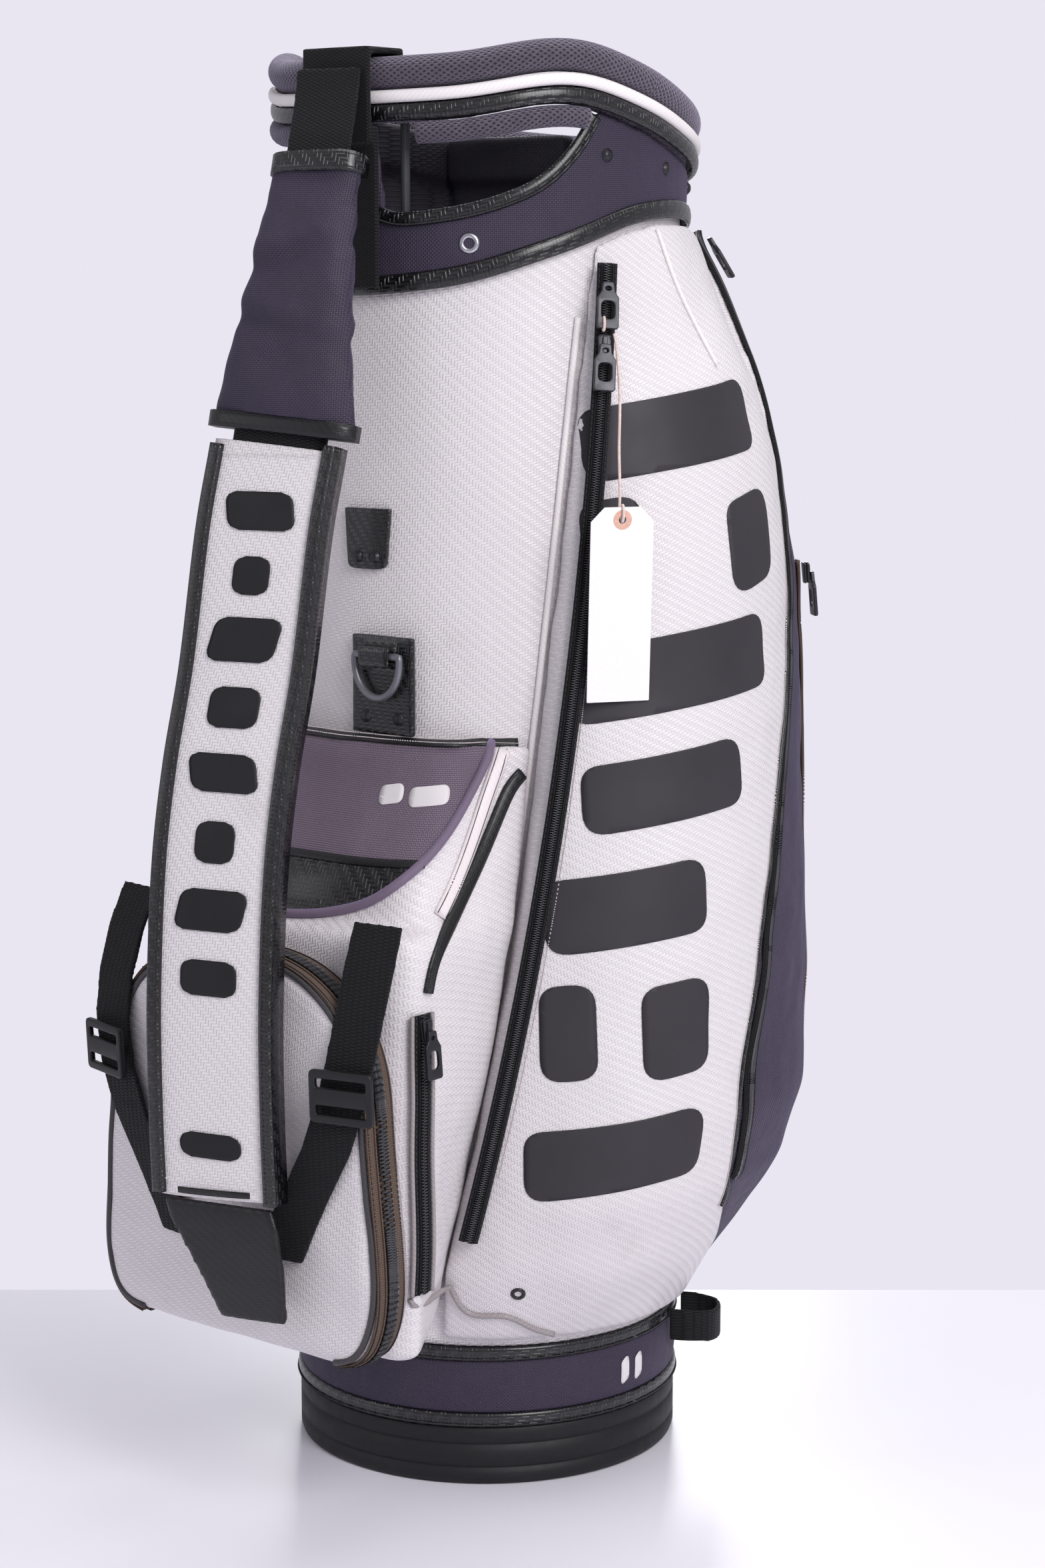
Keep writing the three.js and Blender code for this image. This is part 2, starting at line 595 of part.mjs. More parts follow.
/** A point on the back, between the side pockets' rear edges, at a height. */
function backPoint(across, z) {
  const edge = rearPhi(z) + BACK_EDGE;
  const phi = lerp(edge, 180 - edge, across);
  const near = phi > 90 ? 180 - phi : phi;
  const boxR = (angle) => superR(angle, BACK_HALF, BACK_D, BACK_CORNER);
  const box = boxR(near) / boxR(BACK_TILT_PHI);
  const corner = cornerR(z);
  if (near >= BACK_TILT_PHI) {
    const flat = lerp(bodyR + LEAST, corner * box, backFullness(z));
    const round = THREE.MathUtils.smoothstep(near, BACK_TILT_PHI, BACK_ROUND_PHI);
    return polar(lerp(corner * box, flat, round), phi, z);
  }
  const s = (near - edge) / (BACK_TILT_PHI - edge);
  return polar(lerp(rearR(z) - REAR_RECESS, corner, THREE.MathUtils.smoothstep(s, 0, 1)), phi, z);
}

function backSolid(low, high, nv) {
  const top = (across) => {
    const edge = rearPhi(high) + BACK_EDGE;
    return Math.min(high, sideTop(lerp(edge, 180 - edge, across)));
  };
  const side = (isOuter) => (u, v) => {
    const point = backPoint(u, lerp(low, top(u), v));
    return isOuter ? point : onBody(point);
  };
  return shell(22, nv, side(true), side(false));
}
const backPocket = () => pocketOf(backSolid(SIDE_BOTTOM, BACK_TOP - GAP, 11));
const backPanel = () => pocketOf(backSolid(BACK_TOP, BACK_PANEL_TOP, 6));

// ---------------------------------------------------------------- zips
function sideZipTape() {
  const past = TAPE_PAST / ARC.radius;
  const at = (side) => (u, v) => {
    const angle = lerp(ARC.sweep + past, -past, v);
    const { across, out } = zipFrame(angle);
    return ARC.point(angle).addScaledVector(across, (u - 0.5) * ZIP_TAPE_W)
      .addScaledVector(out, TAPE_LIFT + (side * ZIP_TAPE_T) / 2 + ZIP_TAPE_T / 2);
  };
  return cut(shell(1, 24, at(1), at(-1)), ...grownSides());
}

/** A zip's slider: a plate that narrows towards its top. */
function sliderBody() {
  const { w, l, t, bevel } = SLIDER;
  const right = [[w / 2, -l / 2], [w / 2, l * 0.15], [w / 4, l / 2]];
  const left = right.map(([x, y]) => [-x, y]).reverse();
  return plate([...right, ...left], t, bevel);
}

/** A pull tab that hangs from its hinge at the origin, with a window in its middle. */
function pullTab() {
  const { w, l, t, neck, shoulder, corner } = PULLER;
  const half = w / 2;
  const shape = new THREE.Shape();
  shape.moveTo(-neck / 2, 0);
  shape.lineTo(-half, -shoulder);
  shape.lineTo(-half, -l + corner);
  shape.quadraticCurveTo(-half, -l, -half + corner, -l);
  shape.lineTo(half - corner, -l);
  shape.quadraticCurveTo(half, -l, half, -l + corner);
  shape.lineTo(half, -shoulder);
  shape.lineTo(neck / 2, 0);
  shape.holes.push(new THREE.Path().absellipse(0, -l * 0.45, w * 0.26, l * 0.2, 0, 2 * Math.PI));
  return new THREE.ExtrudeGeometry(shape, { depth: t, bevelEnabled: false, curveSegments: 6 });
}

/** Places a mesh with its x across, y up and z out of the surface it lies on. */
function place(mesh, origin, { across, up, out }) {
  mesh.position.copy(origin);
  mesh.quaternion.setFromRotationMatrix(new THREE.Matrix4().makeBasis(across, up, out));
  return mesh;
}

const mirrorX = (v) => V(-v.x, v.y, v.z);
const mirrorFrame = ({ across, up, out }) => (
  { across: mirrorX(across).negate(), up: mirrorX(up), out: mirrorX(out) }
);

/** Axes of a piece that lies against a surface: it faces out, and its x stays level. */
function facing(out) {
  const across = V(0, 0, 1).cross(out).normalize();
  return { out, across, up: out.clone().cross(across) };
}

// ---------------------------------------------------------------- strap, tabs and tag
const strapPath = new THREE.CatmullRomCurve3(STRAP_LINE.map((p) => V(...p)));

/** The stretch of the strap between two heights, as points from its lower to its upper end. */
function strapStretch(low, high, count = 8) {
  const heights = Array.from({ length: count }, (_, i) => lerp(low, high, i / (count - 1)));
  return heights.map((z) => {
    let best = strapPath.getPoint(0);
    for (let i = 0; i <= 400; i += 1) {
      const p = strapPath.getPoint(i / 400);
      if (Math.abs(p.z - z) < Math.abs(best.z - z)) best = p;
    }
    return best;
  });
}
const padWidth = (v) => lerp(PAD_W_BOTTOM, PAD_W_TOP, Math.min(1, v * 1.25));
const strapPad = () => ribbon(strapStretch(PAD_LOW, PAD_HIGH), padWidth, PAD_T, STRAP_YAW, 8);
const strapPanel = () => ribbon(strapStretch(WHITE_LOW, WHITE_HIGH), () => STRAP_W, STRAP_T, STRAP_YAW, 14);

function strapTopWeb() {
  const end = V(BRACKET_X, -PIPING_OUT - WEB_END.reach, WEB_END.z);
  const points = [...strapStretch(PAD_HIGH + WEB_T / 2, WEB_END.under, 3), end];
  return ribbon(points, () => WEB_W, WEB_T, STRAP_YAW / 2, 4);
}

function strapTab() {
  const width = (v) => lerp(TAB.w, TAB.wTop, Math.min(1, v * 1.2));
  return ribbon(TAB.line.map((p) => V(...p)), width, TAB_T, STRAP_YAW, 6);
}

/** Bracket over the rim that the strap hangs from, with a riveted strip down the cuff. */
function strapBracket() {
  const { wall, low, lip, stripFrom, stripTo, stripLow } = BRACKET;
  const half = WEB_W / 2 + wall;
  const [left, right] = [BRACKET_X - half, BRACKET_X + half];
  const rollLow = rimAt(-90) + PIPING_H / 2;
  const high = rollLow + GAP + ROLL_D + BRACKET_CLEAR + wall;
  const outside = -PIPING_OUT - BRACKET_CLEAR;
  const inside = -Math.sqrt((RIM_R - ROLL_D / 2) ** 2 - (BRACKET_X + half) ** 2) + PROUD_STEP + wall;
  const face = -cuffOut - CUFF_TRIM_T - PROUD_STEP;
  const slab = (x0, x1, y0, y1, z0, z1) => new THREE.BoxGeometry(x1 - x0, y1 - y0, z1 - z0)
    .translate((x0 + x1) / 2, (y0 + y1) / 2, (z0 + z1) / 2);
  return join(
    slab(left, right, outside - wall, outside, low, high),
    slab(left, right, outside - wall, inside, high - wall, high),
    slab(left, right, inside - wall, inside, rollLow + wall, high),
    slab(left, right, outside - PROUD_STEP, face - wall, low, low + lip),
    slab(BRACKET_X + stripFrom, BRACKET_X + stripTo, face - wall - PROUD_STEP, face, stripLow, low + lip),
  );
}

/** Webbing from a side of the housing up to the strap's lower end. */
const lowerWeb = () => ribbon(RIGHT_WEB.map((p) => V(...p)), () => LOWER_WEB_W, WEB_T, LOWER_WEB_YAW, 8);

/** The D-shaped ring that a towel clips to, hanging from the origin. */
function towelRing() {
  const w = (RING_W - RING_D) / 2;
  const right = [V(w - 4, 0, 0), V(w, -4, 0), V(w, -RING_H * 0.45, 0), V(w * 0.7, -RING_H * 0.85, 0)];
  const left = right.map((p) => V(-p.x, p.y, 0)).reverse();
  const points = [V(0, 0, 0), ...right, V(0, -RING_H, 0), ...left];
  const path = new THREE.CatmullRomCurve3(points, true, 'centripetal');
  const sides = 8;
  const section = circle(0, RING_D, 0, sides);
  const xyz = [];
  const index = [];
  const steps = 24;
  for (let i = 0; i < steps; i += 1) {
    const at = path.getPoint(i / steps);
    const side = path.getTangent(i / steps).cross(V(0, 0, 1)).normalize();
    for (const [a, b] of section) xyz.push(...at.clone().addScaledVector(side, a).add(V(0, 0, b)).toArray());
    for (let k = 0; k < sides; k += 1) {
      const next = (i + 1) % steps;
      const [p, q] = [i * sides + k, next * sides + k];
      const [r, s] = [next * sides + ((k + 1) % sides), i * sides + ((k + 1) % sides)];
      index.push(p, r, s, p, q, r);
    }
  }
  return geometryOf(xyz, index);
}

const towelY = -bodyR - TOWEL.off;

/** Tab sewn to the front, folded over the bar of the towel ring. */
function towelTab() {
  const { w, h, t, fold, z, barOut, play } = TOWEL;
  const low = VALUABLES_TOP + PROUD_STEP + 1;
  const boreR = RING_D / 2 + play;
  const pad = new THREE.BoxGeometry(w, t, h).translate(0, 0, low + h / 2);
  const loop = new THREE.BoxGeometry(w / 2, fold, 2 * boreR + 6.4).translate(0, -fold / 2, z);
  const bore = new THREE.CylinderGeometry(boreR, boreR, w, 12).rotateZ(Math.PI / 2).translate(0, -barOut, z);
  return cut(join(pad, loop), bore).translate(TOWEL.x, towelY, 0);
}

/** Webbing loop at the back of the base to lift the bag by. */
function baseHandle() {
  const { half, depth, w, t } = HANDLE;
  const side = [V(0, -half, 0), V(depth * 0.4, -half, 0), V(depth * 0.87, -half * 0.7, -1)];
  const other = side.map((p) => V(p.x, -p.y, p.z)).reverse();
  const curve = new THREE.CatmullRomCurve3([...side, V(depth, 0, -2), ...other]);
  const at = (face) => (u, v) => {
    const out = curve.getTangentAt(v).cross(V(0, 0, 1)).normalize();
    return curve.getPointAt(v).addScaledVector(out, (face * t) / 2).add(V(0, 0, w * (u - 0.5)));
  };
  return shell(1, 16, at(-1), at(1));
}

// ---------------------------------------------------------------- materials
const finish = (color, roughness, metalness = 0) => (
  new THREE.MeshStandardMaterial({ color, roughness, metalness })
);
const FINISHES = {
  rubber: () => finish('#1b1a1d', 0.75),
  vinyl: () => finish('#17161a', 0.35),
  navy: () => finish('#2b2540', 0.85),
  white: () => finish('#ded8d8', 0.5),
  mesh: () => finish('#3a343e', 0.9),
  piping: () => finish('#f2eff0', 0.55),
  webbing: () => finish('#131216', 0.9),
  liner: () => finish('#1c1b20', 0.9),
  plastic: () => finish('#121214', 0.45),
  rod: () => finish('#303236', 0.5),
  mauve: () => finish('#574c5c', 0.85),
  metal: () => finish('#6d6f74', 0.35, 0.8),
  gunmetal: () => finish('#232428', 0.3, 0.7),
  card: () => finish('#f4f2f3', 0.8),
  string: () => finish('#e4dcdc', 0.9),
};

// ---------------------------------------------------------------- assembly
const bag = new THREE.Group();

function add(name, geometry, slot, parent = bag) {
  const mesh = new THREE.Mesh(geometry, FINISHES[slot]());
  mesh.name = name;
  parent.add(mesh);
  return mesh;
}

/** Adds a piece on the right and its mirror image on the left. */
function addPair(name, geometry, slot) {
  add(`${name}_right`, geometry, slot);
  add(`${name}_left`, mirrored(geometry), slot);
}

function addPlacedPair(name, geometry, slot, origin, frame) {
  place(add(`${name}_right`, geometry, slot), origin, frame);
  place(add(`${name}_left`, geometry, slot), mirrorX(origin), mirrorFrame(frame));
}

add('base_cup', baseCup(), 'rubber');
add('base_trim_lower', baseTrim(trimLow), 'vinyl');
add('base_band', baseBand(), 'navy');
add('base_trim_upper', baseTrim(trimHigh), 'vinyl');
add('liner_tube', liner(), 'liner');
add('body_skin', skin(), 'white');
for (const [name, phi] of Object.entries(STAY_PHI)) add(name, stay(phi), 'rod');
add('cuff_skirt', cuffSkirt(), 'navy');
add('cuff_trim', cuffTrim(), 'vinyl');
add('rim_frame', rimFrame(), 'plastic');
add('rim_roll', rimRoll(), 'mesh');
add('rim_piping', rimPiping(), 'piping');
add('rim_binding', rimBinding(), 'vinyl');
for (const [name, ends] of Object.entries(GRIP_PHI)) add(name, gripRoll(...ends), 'mesh');
for (const [name, wall] of dividers()) add(name, wall, 'liner');

addPair('side_pocket', sidePocket(), 'white');
add('front_pod', frontPod(), 'white');
add('valuables_pocket', valuablesPocket(), 'mauve');
add('ball_pocket', ballPocket(), 'white');
add('back_pocket', backPocket(), 'navy');
add('back_panel', backPanel(), 'white');
addPair('side_zip_tape', sideZipTape(), 'webbing');

// Side zips: the upper slider stays at its stop and only its pull moves; the lower one travels.
const upperAngle = SLIDER_STOP / ARC.radius;
const lowerAngle = (SLIDER_STOP + SLIDER_PITCH) / ARC.radius;
const tapeTop = TAPE_LIFT + ZIP_TAPE_T + GAP;
const onZip = (angle, lift) => ARC.point(angle).addScaledVector(zipFrame(angle).out, lift);
const hingeLift = SLIDER.t + PULL_LIFT;
const pullLift = tapeTop + hingeLift;
const upperPull = onZip(upperAngle, pullLift);
addPlacedPair('side_upper_pull', pullTab(), 'gunmetal', upperPull, zipFrame(upperAngle));
addPlacedPair('side_slider', sliderBody(), 'gunmetal', onZip(lowerAngle, tapeTop), zipFrame(lowerAngle));
addPlacedPair('side_slider_pull', pullTab(), 'gunmetal', onZip(lowerAngle, pullLift), zipFrame(lowerAngle));

// Rear zips: only the pull at the top of each.
const leaning = (phi, tilt) => polar(1, phi, tilt).normalize();
const rearFrame = facing(leaning(REAR_PULL.facing, REAR_PULL.tilt));
const rearHinge = polar(REAR_PULL.r, REAR_PULL.phi, REAR_PULL.z);
addPlacedPair('rear_zip_pull', pullTab(), 'gunmetal', rearHinge, rearFrame);

// Accessory zips run straight up the housing's sides.
const sideways = facing(V(1, 0, 0));
const accessoryAt = (lift) => V(POD_W + PROUD_STEP + lift, ACCESSORY.y, ACCESSORY.z);
addPlacedPair('accessory_slider', sliderBody(), 'gunmetal', accessoryAt(0), sideways);
addPlacedPair('accessory_pull', pullTab(), 'gunmetal', accessoryAt(hingeLift), sideways);

// The ball pocket's zip has one slider, parked at the top of its left side, which leans a little.
const leftward = facing(V(-1, 0, 0));
const ballAt = (lift) => V(-BALL_HALF + BALL_ZIP.inset - lift, BALL_ZIP.y, BALL_ZIP.z);
place(add('ball_slider', sliderBody(), 'gunmetal'), ballAt(0), leftward);
place(add('ball_pull', pullTab(), 'gunmetal'), ballAt(hingeLift), leftward);

// The back pocket's zip has its slider at the top of its right corner.
const backward = facing(polar(1, BACK_ZIP.facing, 0));
const backAt = (lift) => polar(cornerR(BACK_ZIP.z) + BACK_ZIP.off + lift, BACK_ZIP.phi, BACK_ZIP.z);
place(add('back_slider', sliderBody(), 'gunmetal'), backAt(0), backward);
place(add('back_pull', pullTab(), 'gunmetal'), backAt(hingeLift), backward);

// Strap and what it hangs from.
add('strap_bracket', strapBracket(), 'plastic');
add('strap_top_web', strapTopWeb(), 'webbing');
add('strap_pad', strapPad(), 'navy');
add('strap_panel', strapPanel(), 'white');
add('strap_tab', strapTab(), 'vinyl');
addPair('lower_web', lowerWeb(), 'webbing');
add('towel_tab', towelTab(), 'vinyl');
const ring = add('towel_ring', towelRing().rotateX(Math.PI / 2), 'metal');
ring.position.set(TOWEL.x, towelY - TOWEL.barOut, TOWEL.z);
const handle = add('base_handle', baseHandle(), 'webbing');
const handleFoot = polar(BASE_R + TRIM_PROUD + HANDLE.t / 2 + GAP + 0.4, HANDLE.phi, HANDLE.z);
const handleFrame = { across: polar(1, HANDLE.phi, 0), up: polar(1, HANDLE.phi + 90, 0), out: V(0, 0, 1) };
place(handle, handleFoot, handleFrame);

// Swing tag on its string, from the upper pull on the right.
const upperFrame = zipFrame(upperAngle);
const stringStart = upperPull.clone()
  .addScaledVector(upperFrame.across, STRING_FROM.across)
  .addScaledVector(upperFrame.up, -PULLER.l - STRING_FROM.gap - STRING_D / 2)
  .addScaledVector(upperFrame.out, PULLER.t / 2);
const stringPoints = STRING_ROUTE.map((p) => V(...p).add(stringStart));
add('tag_string', tube(stringPoints, STRING_D, 8, 22), 'string');

function swingTag() {
  const { w, l, t, clip, hole, holeDown } = TAG;
  const half = w / 2;
  const right = [[half, -l], [half, -clip], [half - clip, 0]];
  const outline = [...right, ...right.map(([x, y]) => [-x, y]).reverse()];
  const shape = new THREE.Shape(outline.map(([x, y]) => new THREE.Vector2(x, y)));
  shape.holes.push(new THREE.Path().absarc(0, -holeDown, hole / 2, 0, 2 * Math.PI));
  return new THREE.ExtrudeGeometry(shape, { depth: t, bevelEnabled: false, curveSegments: 6 });
}
const tagFrame = facing(leaning(TAG.facing, TAG.tilt));
const tagTop = stringPoints.at(-1).clone()
  .addScaledVector(tagFrame.up, TAG.holeDown)
  .addScaledVector(tagFrame.out, -STRING_D - 2 * GAP);
place(add('swing_tag', swingTag(), 'card'), tagTop, tagFrame);

export default bag;
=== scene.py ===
import json
import math

import bmesh
import bpy
import numpy as np
from mathutils import Matrix, Vector, noise
from mathutils.bvhtree import BVHTree

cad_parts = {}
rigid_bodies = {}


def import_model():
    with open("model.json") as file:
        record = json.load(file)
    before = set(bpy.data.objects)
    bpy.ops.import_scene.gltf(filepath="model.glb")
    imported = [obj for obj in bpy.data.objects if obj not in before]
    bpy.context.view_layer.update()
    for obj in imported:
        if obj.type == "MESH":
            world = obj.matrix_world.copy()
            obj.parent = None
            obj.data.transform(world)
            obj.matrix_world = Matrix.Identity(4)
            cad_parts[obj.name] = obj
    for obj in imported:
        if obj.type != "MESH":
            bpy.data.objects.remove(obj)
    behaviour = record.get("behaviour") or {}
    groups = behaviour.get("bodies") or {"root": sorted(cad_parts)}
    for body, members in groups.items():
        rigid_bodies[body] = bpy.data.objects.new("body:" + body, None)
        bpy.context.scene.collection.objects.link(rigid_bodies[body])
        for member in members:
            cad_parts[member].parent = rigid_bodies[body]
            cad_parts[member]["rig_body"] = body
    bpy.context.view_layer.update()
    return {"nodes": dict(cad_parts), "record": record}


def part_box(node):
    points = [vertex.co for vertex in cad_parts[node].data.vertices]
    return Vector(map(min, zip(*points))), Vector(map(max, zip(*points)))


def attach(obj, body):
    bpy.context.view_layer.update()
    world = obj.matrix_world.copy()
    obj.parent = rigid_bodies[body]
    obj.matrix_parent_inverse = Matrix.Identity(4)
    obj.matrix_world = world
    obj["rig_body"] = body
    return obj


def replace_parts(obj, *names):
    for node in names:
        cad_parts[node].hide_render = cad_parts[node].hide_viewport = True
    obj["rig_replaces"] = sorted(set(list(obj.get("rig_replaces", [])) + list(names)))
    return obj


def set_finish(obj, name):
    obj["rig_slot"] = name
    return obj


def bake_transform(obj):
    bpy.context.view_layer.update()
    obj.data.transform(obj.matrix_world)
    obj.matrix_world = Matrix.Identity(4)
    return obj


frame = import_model()
NODES = frame["nodes"]
JOINTS = {joint["name"]: joint for joint in frame["record"]["behaviour"]["joints"]}

# Metres and degrees. phi runs round the bag from +X towards +Y; -90 is the front.
MM = 0.001
WEAVE = "weave"  # the UV map that every woven or embossed pattern is laid out on, in metres

# ---------------------------------------------------------------- camera, floor and light
EYE = Vector((1.41413, -1.68530, 0.80074))
HEADING = Vector((-0.6263, 0.7638, -0.1560))
LENS = 74.57
SENSOR = 36.0
FLOOR_BACK = 2.49  # from below the camera to the floor's far edge
AMBIENT = 0.5


def make_camera():
    data = bpy.data.cameras.new("camera")
    data.lens, data.sensor_width = LENS, SENSOR
    camera = bpy.data.objects.new("camera", data)
    camera.rotation_mode = "QUATERNION"
    camera.location = EYE
    camera.rotation_quaternion = HEADING.to_track_quat("-Z", "Y")
    bpy.context.scene.collection.objects.link(camera)
    bpy.context.scene.camera = camera


def make_light(name, place, aim, size, power, color=(1, 1, 1)):
    data = bpy.data.lights.new(name, "AREA")
    data.shape, data.size, data.size_y = "RECTANGLE", size[0], size[1]
    data.energy, data.color = power, color
    light = bpy.data.objects.new(name, data)
    light.location = place
    light.rotation_mode = "QUATERNION"
    light.rotation_quaternion = (Vector(aim) - Vector(place)).to_track_quat("-Z", "Y")
    bpy.context.scene.collection.objects.link(light)


def make_lights():
    make_light("key", (2.3, -0.9, 1.9), (0, 0, 0.45), (1.1, 1.5), 52, (1, 0.985, 0.99))
    make_light("fill", (-1.4, -2.4, 1.3), (0, 0, 0.5), (1.4, 1.4), 7, (0.97, 0.97, 1))
    make_light("top", (0.1, 0.5, 2.6), (0, 0, 0.6), (1.6, 1.6), 20)
    make_light("rim", (-1.5, 1.9, 1.5), (0, 0, 0.7), (0.7, 1.4), 22)
    world = bpy.data.worlds.new("studio")
    world.use_nodes = True
    tree = world.node_tree
    ambient = tree.nodes["Background"]
    ambient.inputs["Color"].default_value = (0.86, 0.85, 0.93, 1)
    ambient.inputs["Strength"].default_value = AMBIENT
    seen = tree.nodes.new("ShaderNodeBackground")
    seen.inputs["Color"].default_value = rgb("#e9e6f2")
    choice = tree.nodes.new("ShaderNodeMixShader")
    path = tree.nodes.new("ShaderNodeLightPath")
    tree.links.new(path.outputs["Is Camera Ray"], choice.inputs[0])
    tree.links.new(ambient.outputs[0], choice.inputs[1])
    tree.links.new(seen.outputs[0], choice.inputs[2])
    tree.links.new(choice.outputs[0], tree.nodes["World Output"].inputs["Surface"])
    bpy.context.scene.world = world
    bpy.context.scene.view_settings.view_transform = "Standard"


# ---------------------------------------------------------------- materials
def rgb(code):
    """A linear colour from its hex code."""
    parts = [int(code[i : i + 2], 16) / 255 for i in (1, 3, 5)]
    return (*[c / 12.92 if c < 0.04045 else ((c + 0.055) / 1.055) ** 2.4 for c in parts], 1)


class Shader:
    """A material, with short calls that add nodes and join them."""

    def __init__(self, name, roughness, metallic=0.0, **sockets):
        self.material = bpy.data.materials.new(name)
        self.material.use_nodes = True
        self.tree = self.material.node_tree
        self.bsdf = self.tree.nodes["Principled BSDF"]
        self.bsdf.inputs["Metallic"].default_value = metallic
        self.bsdf.inputs["Roughness"].default_value = roughness
        for socket, value in sockets.items():
            self.bsdf.inputs[socket.replace("_", " ")].default_value = value

    def node(self, kind, **settings):
        made = self.tree.nodes.new("ShaderNode" + kind)
        for key, value in settings.items():
            setattr(made, key, value)
        return made

    def join(self, value, socket):
        if isinstance(value, bpy.types.NodeSocket):
            self.tree.links.new(value, socket)
        else:
            socket.default_value = value

    def math(self, operation, *values):
        made = self.node("Math", operation=operation)
        for socket, value in zip(made.inputs, values):
            self.join(value, socket)
        return made.outputs[0]

    def step(self, value, low, high):
        made = self.node("MapRange", interpolation_type="SMOOTHSTEP")
        for socket, x in zip(made.inputs, (value, low, high, 0.0, 1.0)):
            self.join(x, socket)
        return made.outputs[0]

    def span(self, value, low, high):
        """value, from 0 to 1, taken to low to high."""
        made = self.node("MapRange")
        for socket, x in zip(made.inputs, (value, 0.0, 1.0, low, high)):
            self.join(x, socket)
        return made.outputs[0]

    def mix(self, share, a, b):
        made = self.node("Mix", data_type="RGBA")
        self.join(share, made.inputs[0])
        self.join(a, made.inputs[6])
        self.join(b, made.inputs[7])
        return made.outputs[2]

    def noise(self, size, detail=3.0, stretch=(1, 1, 1)):
        """Noise from 0 to 1 with features about size metres across."""
        place = self.node("TexCoord").outputs["Object"]
        scaled = self.node("Mapping")
        scaled.inputs["Scale"].default_value = stretch
        self.join(place, scaled.inputs[0])
        made = self.node("TexNoise")
        self.join(scaled.outputs[0], made.inputs["Vector"])
        made.inputs["Scale"].default_value = 1 / size
        made.inputs["Detail"].default_value = detail
        return made.outputs["Fac"]

    def cells(self, pitch_u, pitch_v):
        """Which cell of a grid on the weave map a point is in, and where in it, from 0 to 1."""
        split = self.node("SeparateXYZ")
        self.join(self.node("UVMap", uv_map=WEAVE).outputs[0], split.inputs[0])
        u = self.math("DIVIDE", split.outputs[0], pitch_u)
        v = self.math("DIVIDE", split.outputs[1], pitch_v)
        floors = self.math("FLOOR", u), self.math("FLOOR", v)
        return (*floors, self.math("FRACT", u), self.math("FRACT", v))

    def hump(self, x):
        """A round ridge over 0 to 1."""
        centred = self.math("MULTIPLY_ADD", x, 2.0, -1.0)
        return self.math("SUBTRACT", 1.0, self.math("MULTIPLY", centred, centred))

    def bump(self, height, depth, below=None):
        made = self.node("Bump")
        made.inputs["Distance"].default_value = depth
        made.inputs["Strength"].default_value = 1.0
        self.join(height, made.inputs["Height"])
        if below is not None:
            self.join(below, made.inputs["Normal"])
        return made.outputs[0]

    def finish(self, color, roughness=None, normal=None):
        self.join(color, self.bsdf.inputs["Base Color"])
        if roughness is not None:
            self.join(roughness, self.bsdf.inputs["Roughness"])
        if normal is not None:
            self.join(normal, self.bsdf.inputs["Normal"])
        return self.material


def woven(shader, pitch, over):
    """Height of a weave whose threads pass over `over` of the crossing threads, and under as many."""
    i, j, x, y = shader.cells(pitch, pitch)
    order = shader.math("FLOORED_MODULO", shader.math("ADD", i, j), 2.0 * over)
    warp = shader.math("LESS_THAN", order, float(over))
    a, b = shader.hump(x), shader.hump(y)
    return shader.math("ADD", shader.math("MULTIPLY", a, warp),
                       shader.math("MULTIPLY", b, shader.math("SUBTRACT", 1.0, warp))), warp


def coated_cloth(name, color, shade, pitch, depth, roughness, coat, dirt="#8c8078"):
    """Coated fabric embossed with a 2 by 2 twill, with painted shade on the warp threads and in the valleys
    between threads, a little grubby in places.
    """
    s = Shader(name, roughness, Coat_Weight=coat, Coat_Roughness=0.22, Specular_IOR_Level=0.4)
    height, warp = woven(s, pitch, 2)
    # painted shade: the warp threads are drawn a little toward the shade colour
    tone = s.mix(s.span(warp, 0.0, 0.35), rgb(color), rgb(shade))
    # painted shade in the valleys between the threads
    valley_shade = s.mix(s.step(height, 0.55, 0.0), tone, rgb(shade))
    marks = s.step(s.noise(0.05, 6.0), 0.6, 0.78)
    soiled = s.mix(s.math("MULTIPLY", marks, 0.10), valley_shade, rgb(dirt))
    grain = s.noise(0.0009, 2.0)
    creases = s.bump(s.noise(0.03, 4.0), 0.0011)
    fine = s.bump(grain, 0.00004, creases)
    rough = s.math("ADD", s.span(s.noise(0.02), -0.07, 0.1), s.span(warp, roughness, roughness + 0.09))
    return s.finish(soiled, rough, s.bump(height, depth, fine))


def nylon(name, color, lit, gap, pitch=0.00125, depth=0.00028, sheen=0.5, tint=(0.6, 0.5, 0.9, 1)):
    """Coarse plain-woven nylon: painted highlight on the thread crowns, painted shade in the gaps between
    them, and a coloured sheen.
    """
    s = Shader(name, 0.6, Sheen_Weight=sheen, Sheen_Roughness=0.4, Sheen_Tint=tint)
    height, warp = woven(s, pitch, 1)
    # painted highlight: the thread crowns take the lit colour, the warp threads a little less
    crown = s.mix(s.step(height, 0.35, 0.95), rgb(color), rgb(lit))
    thread = s.mix(s.math("MULTIPLY", warp, 0.25), crown, rgb(color))
    # painted shade in the gaps between the threads
    low = s.mix(s.step(height, 0.4, 0.05), thread, rgb(gap))
    # paler in random patches, toward the lit colour
    with_paler_patches = s.mix(s.math("MULTIPLY", s.step(s.noise(0.07, 4.0), 0.42, 0.8), 0.35), low, rgb(lit))
    folds = s.bump(s.noise(0.024, 3.0), 0.0014)
    return s.finish(with_paler_patches, s.span(s.noise(0.01), 0.5, 0.75), s.bump(height, depth, folds))


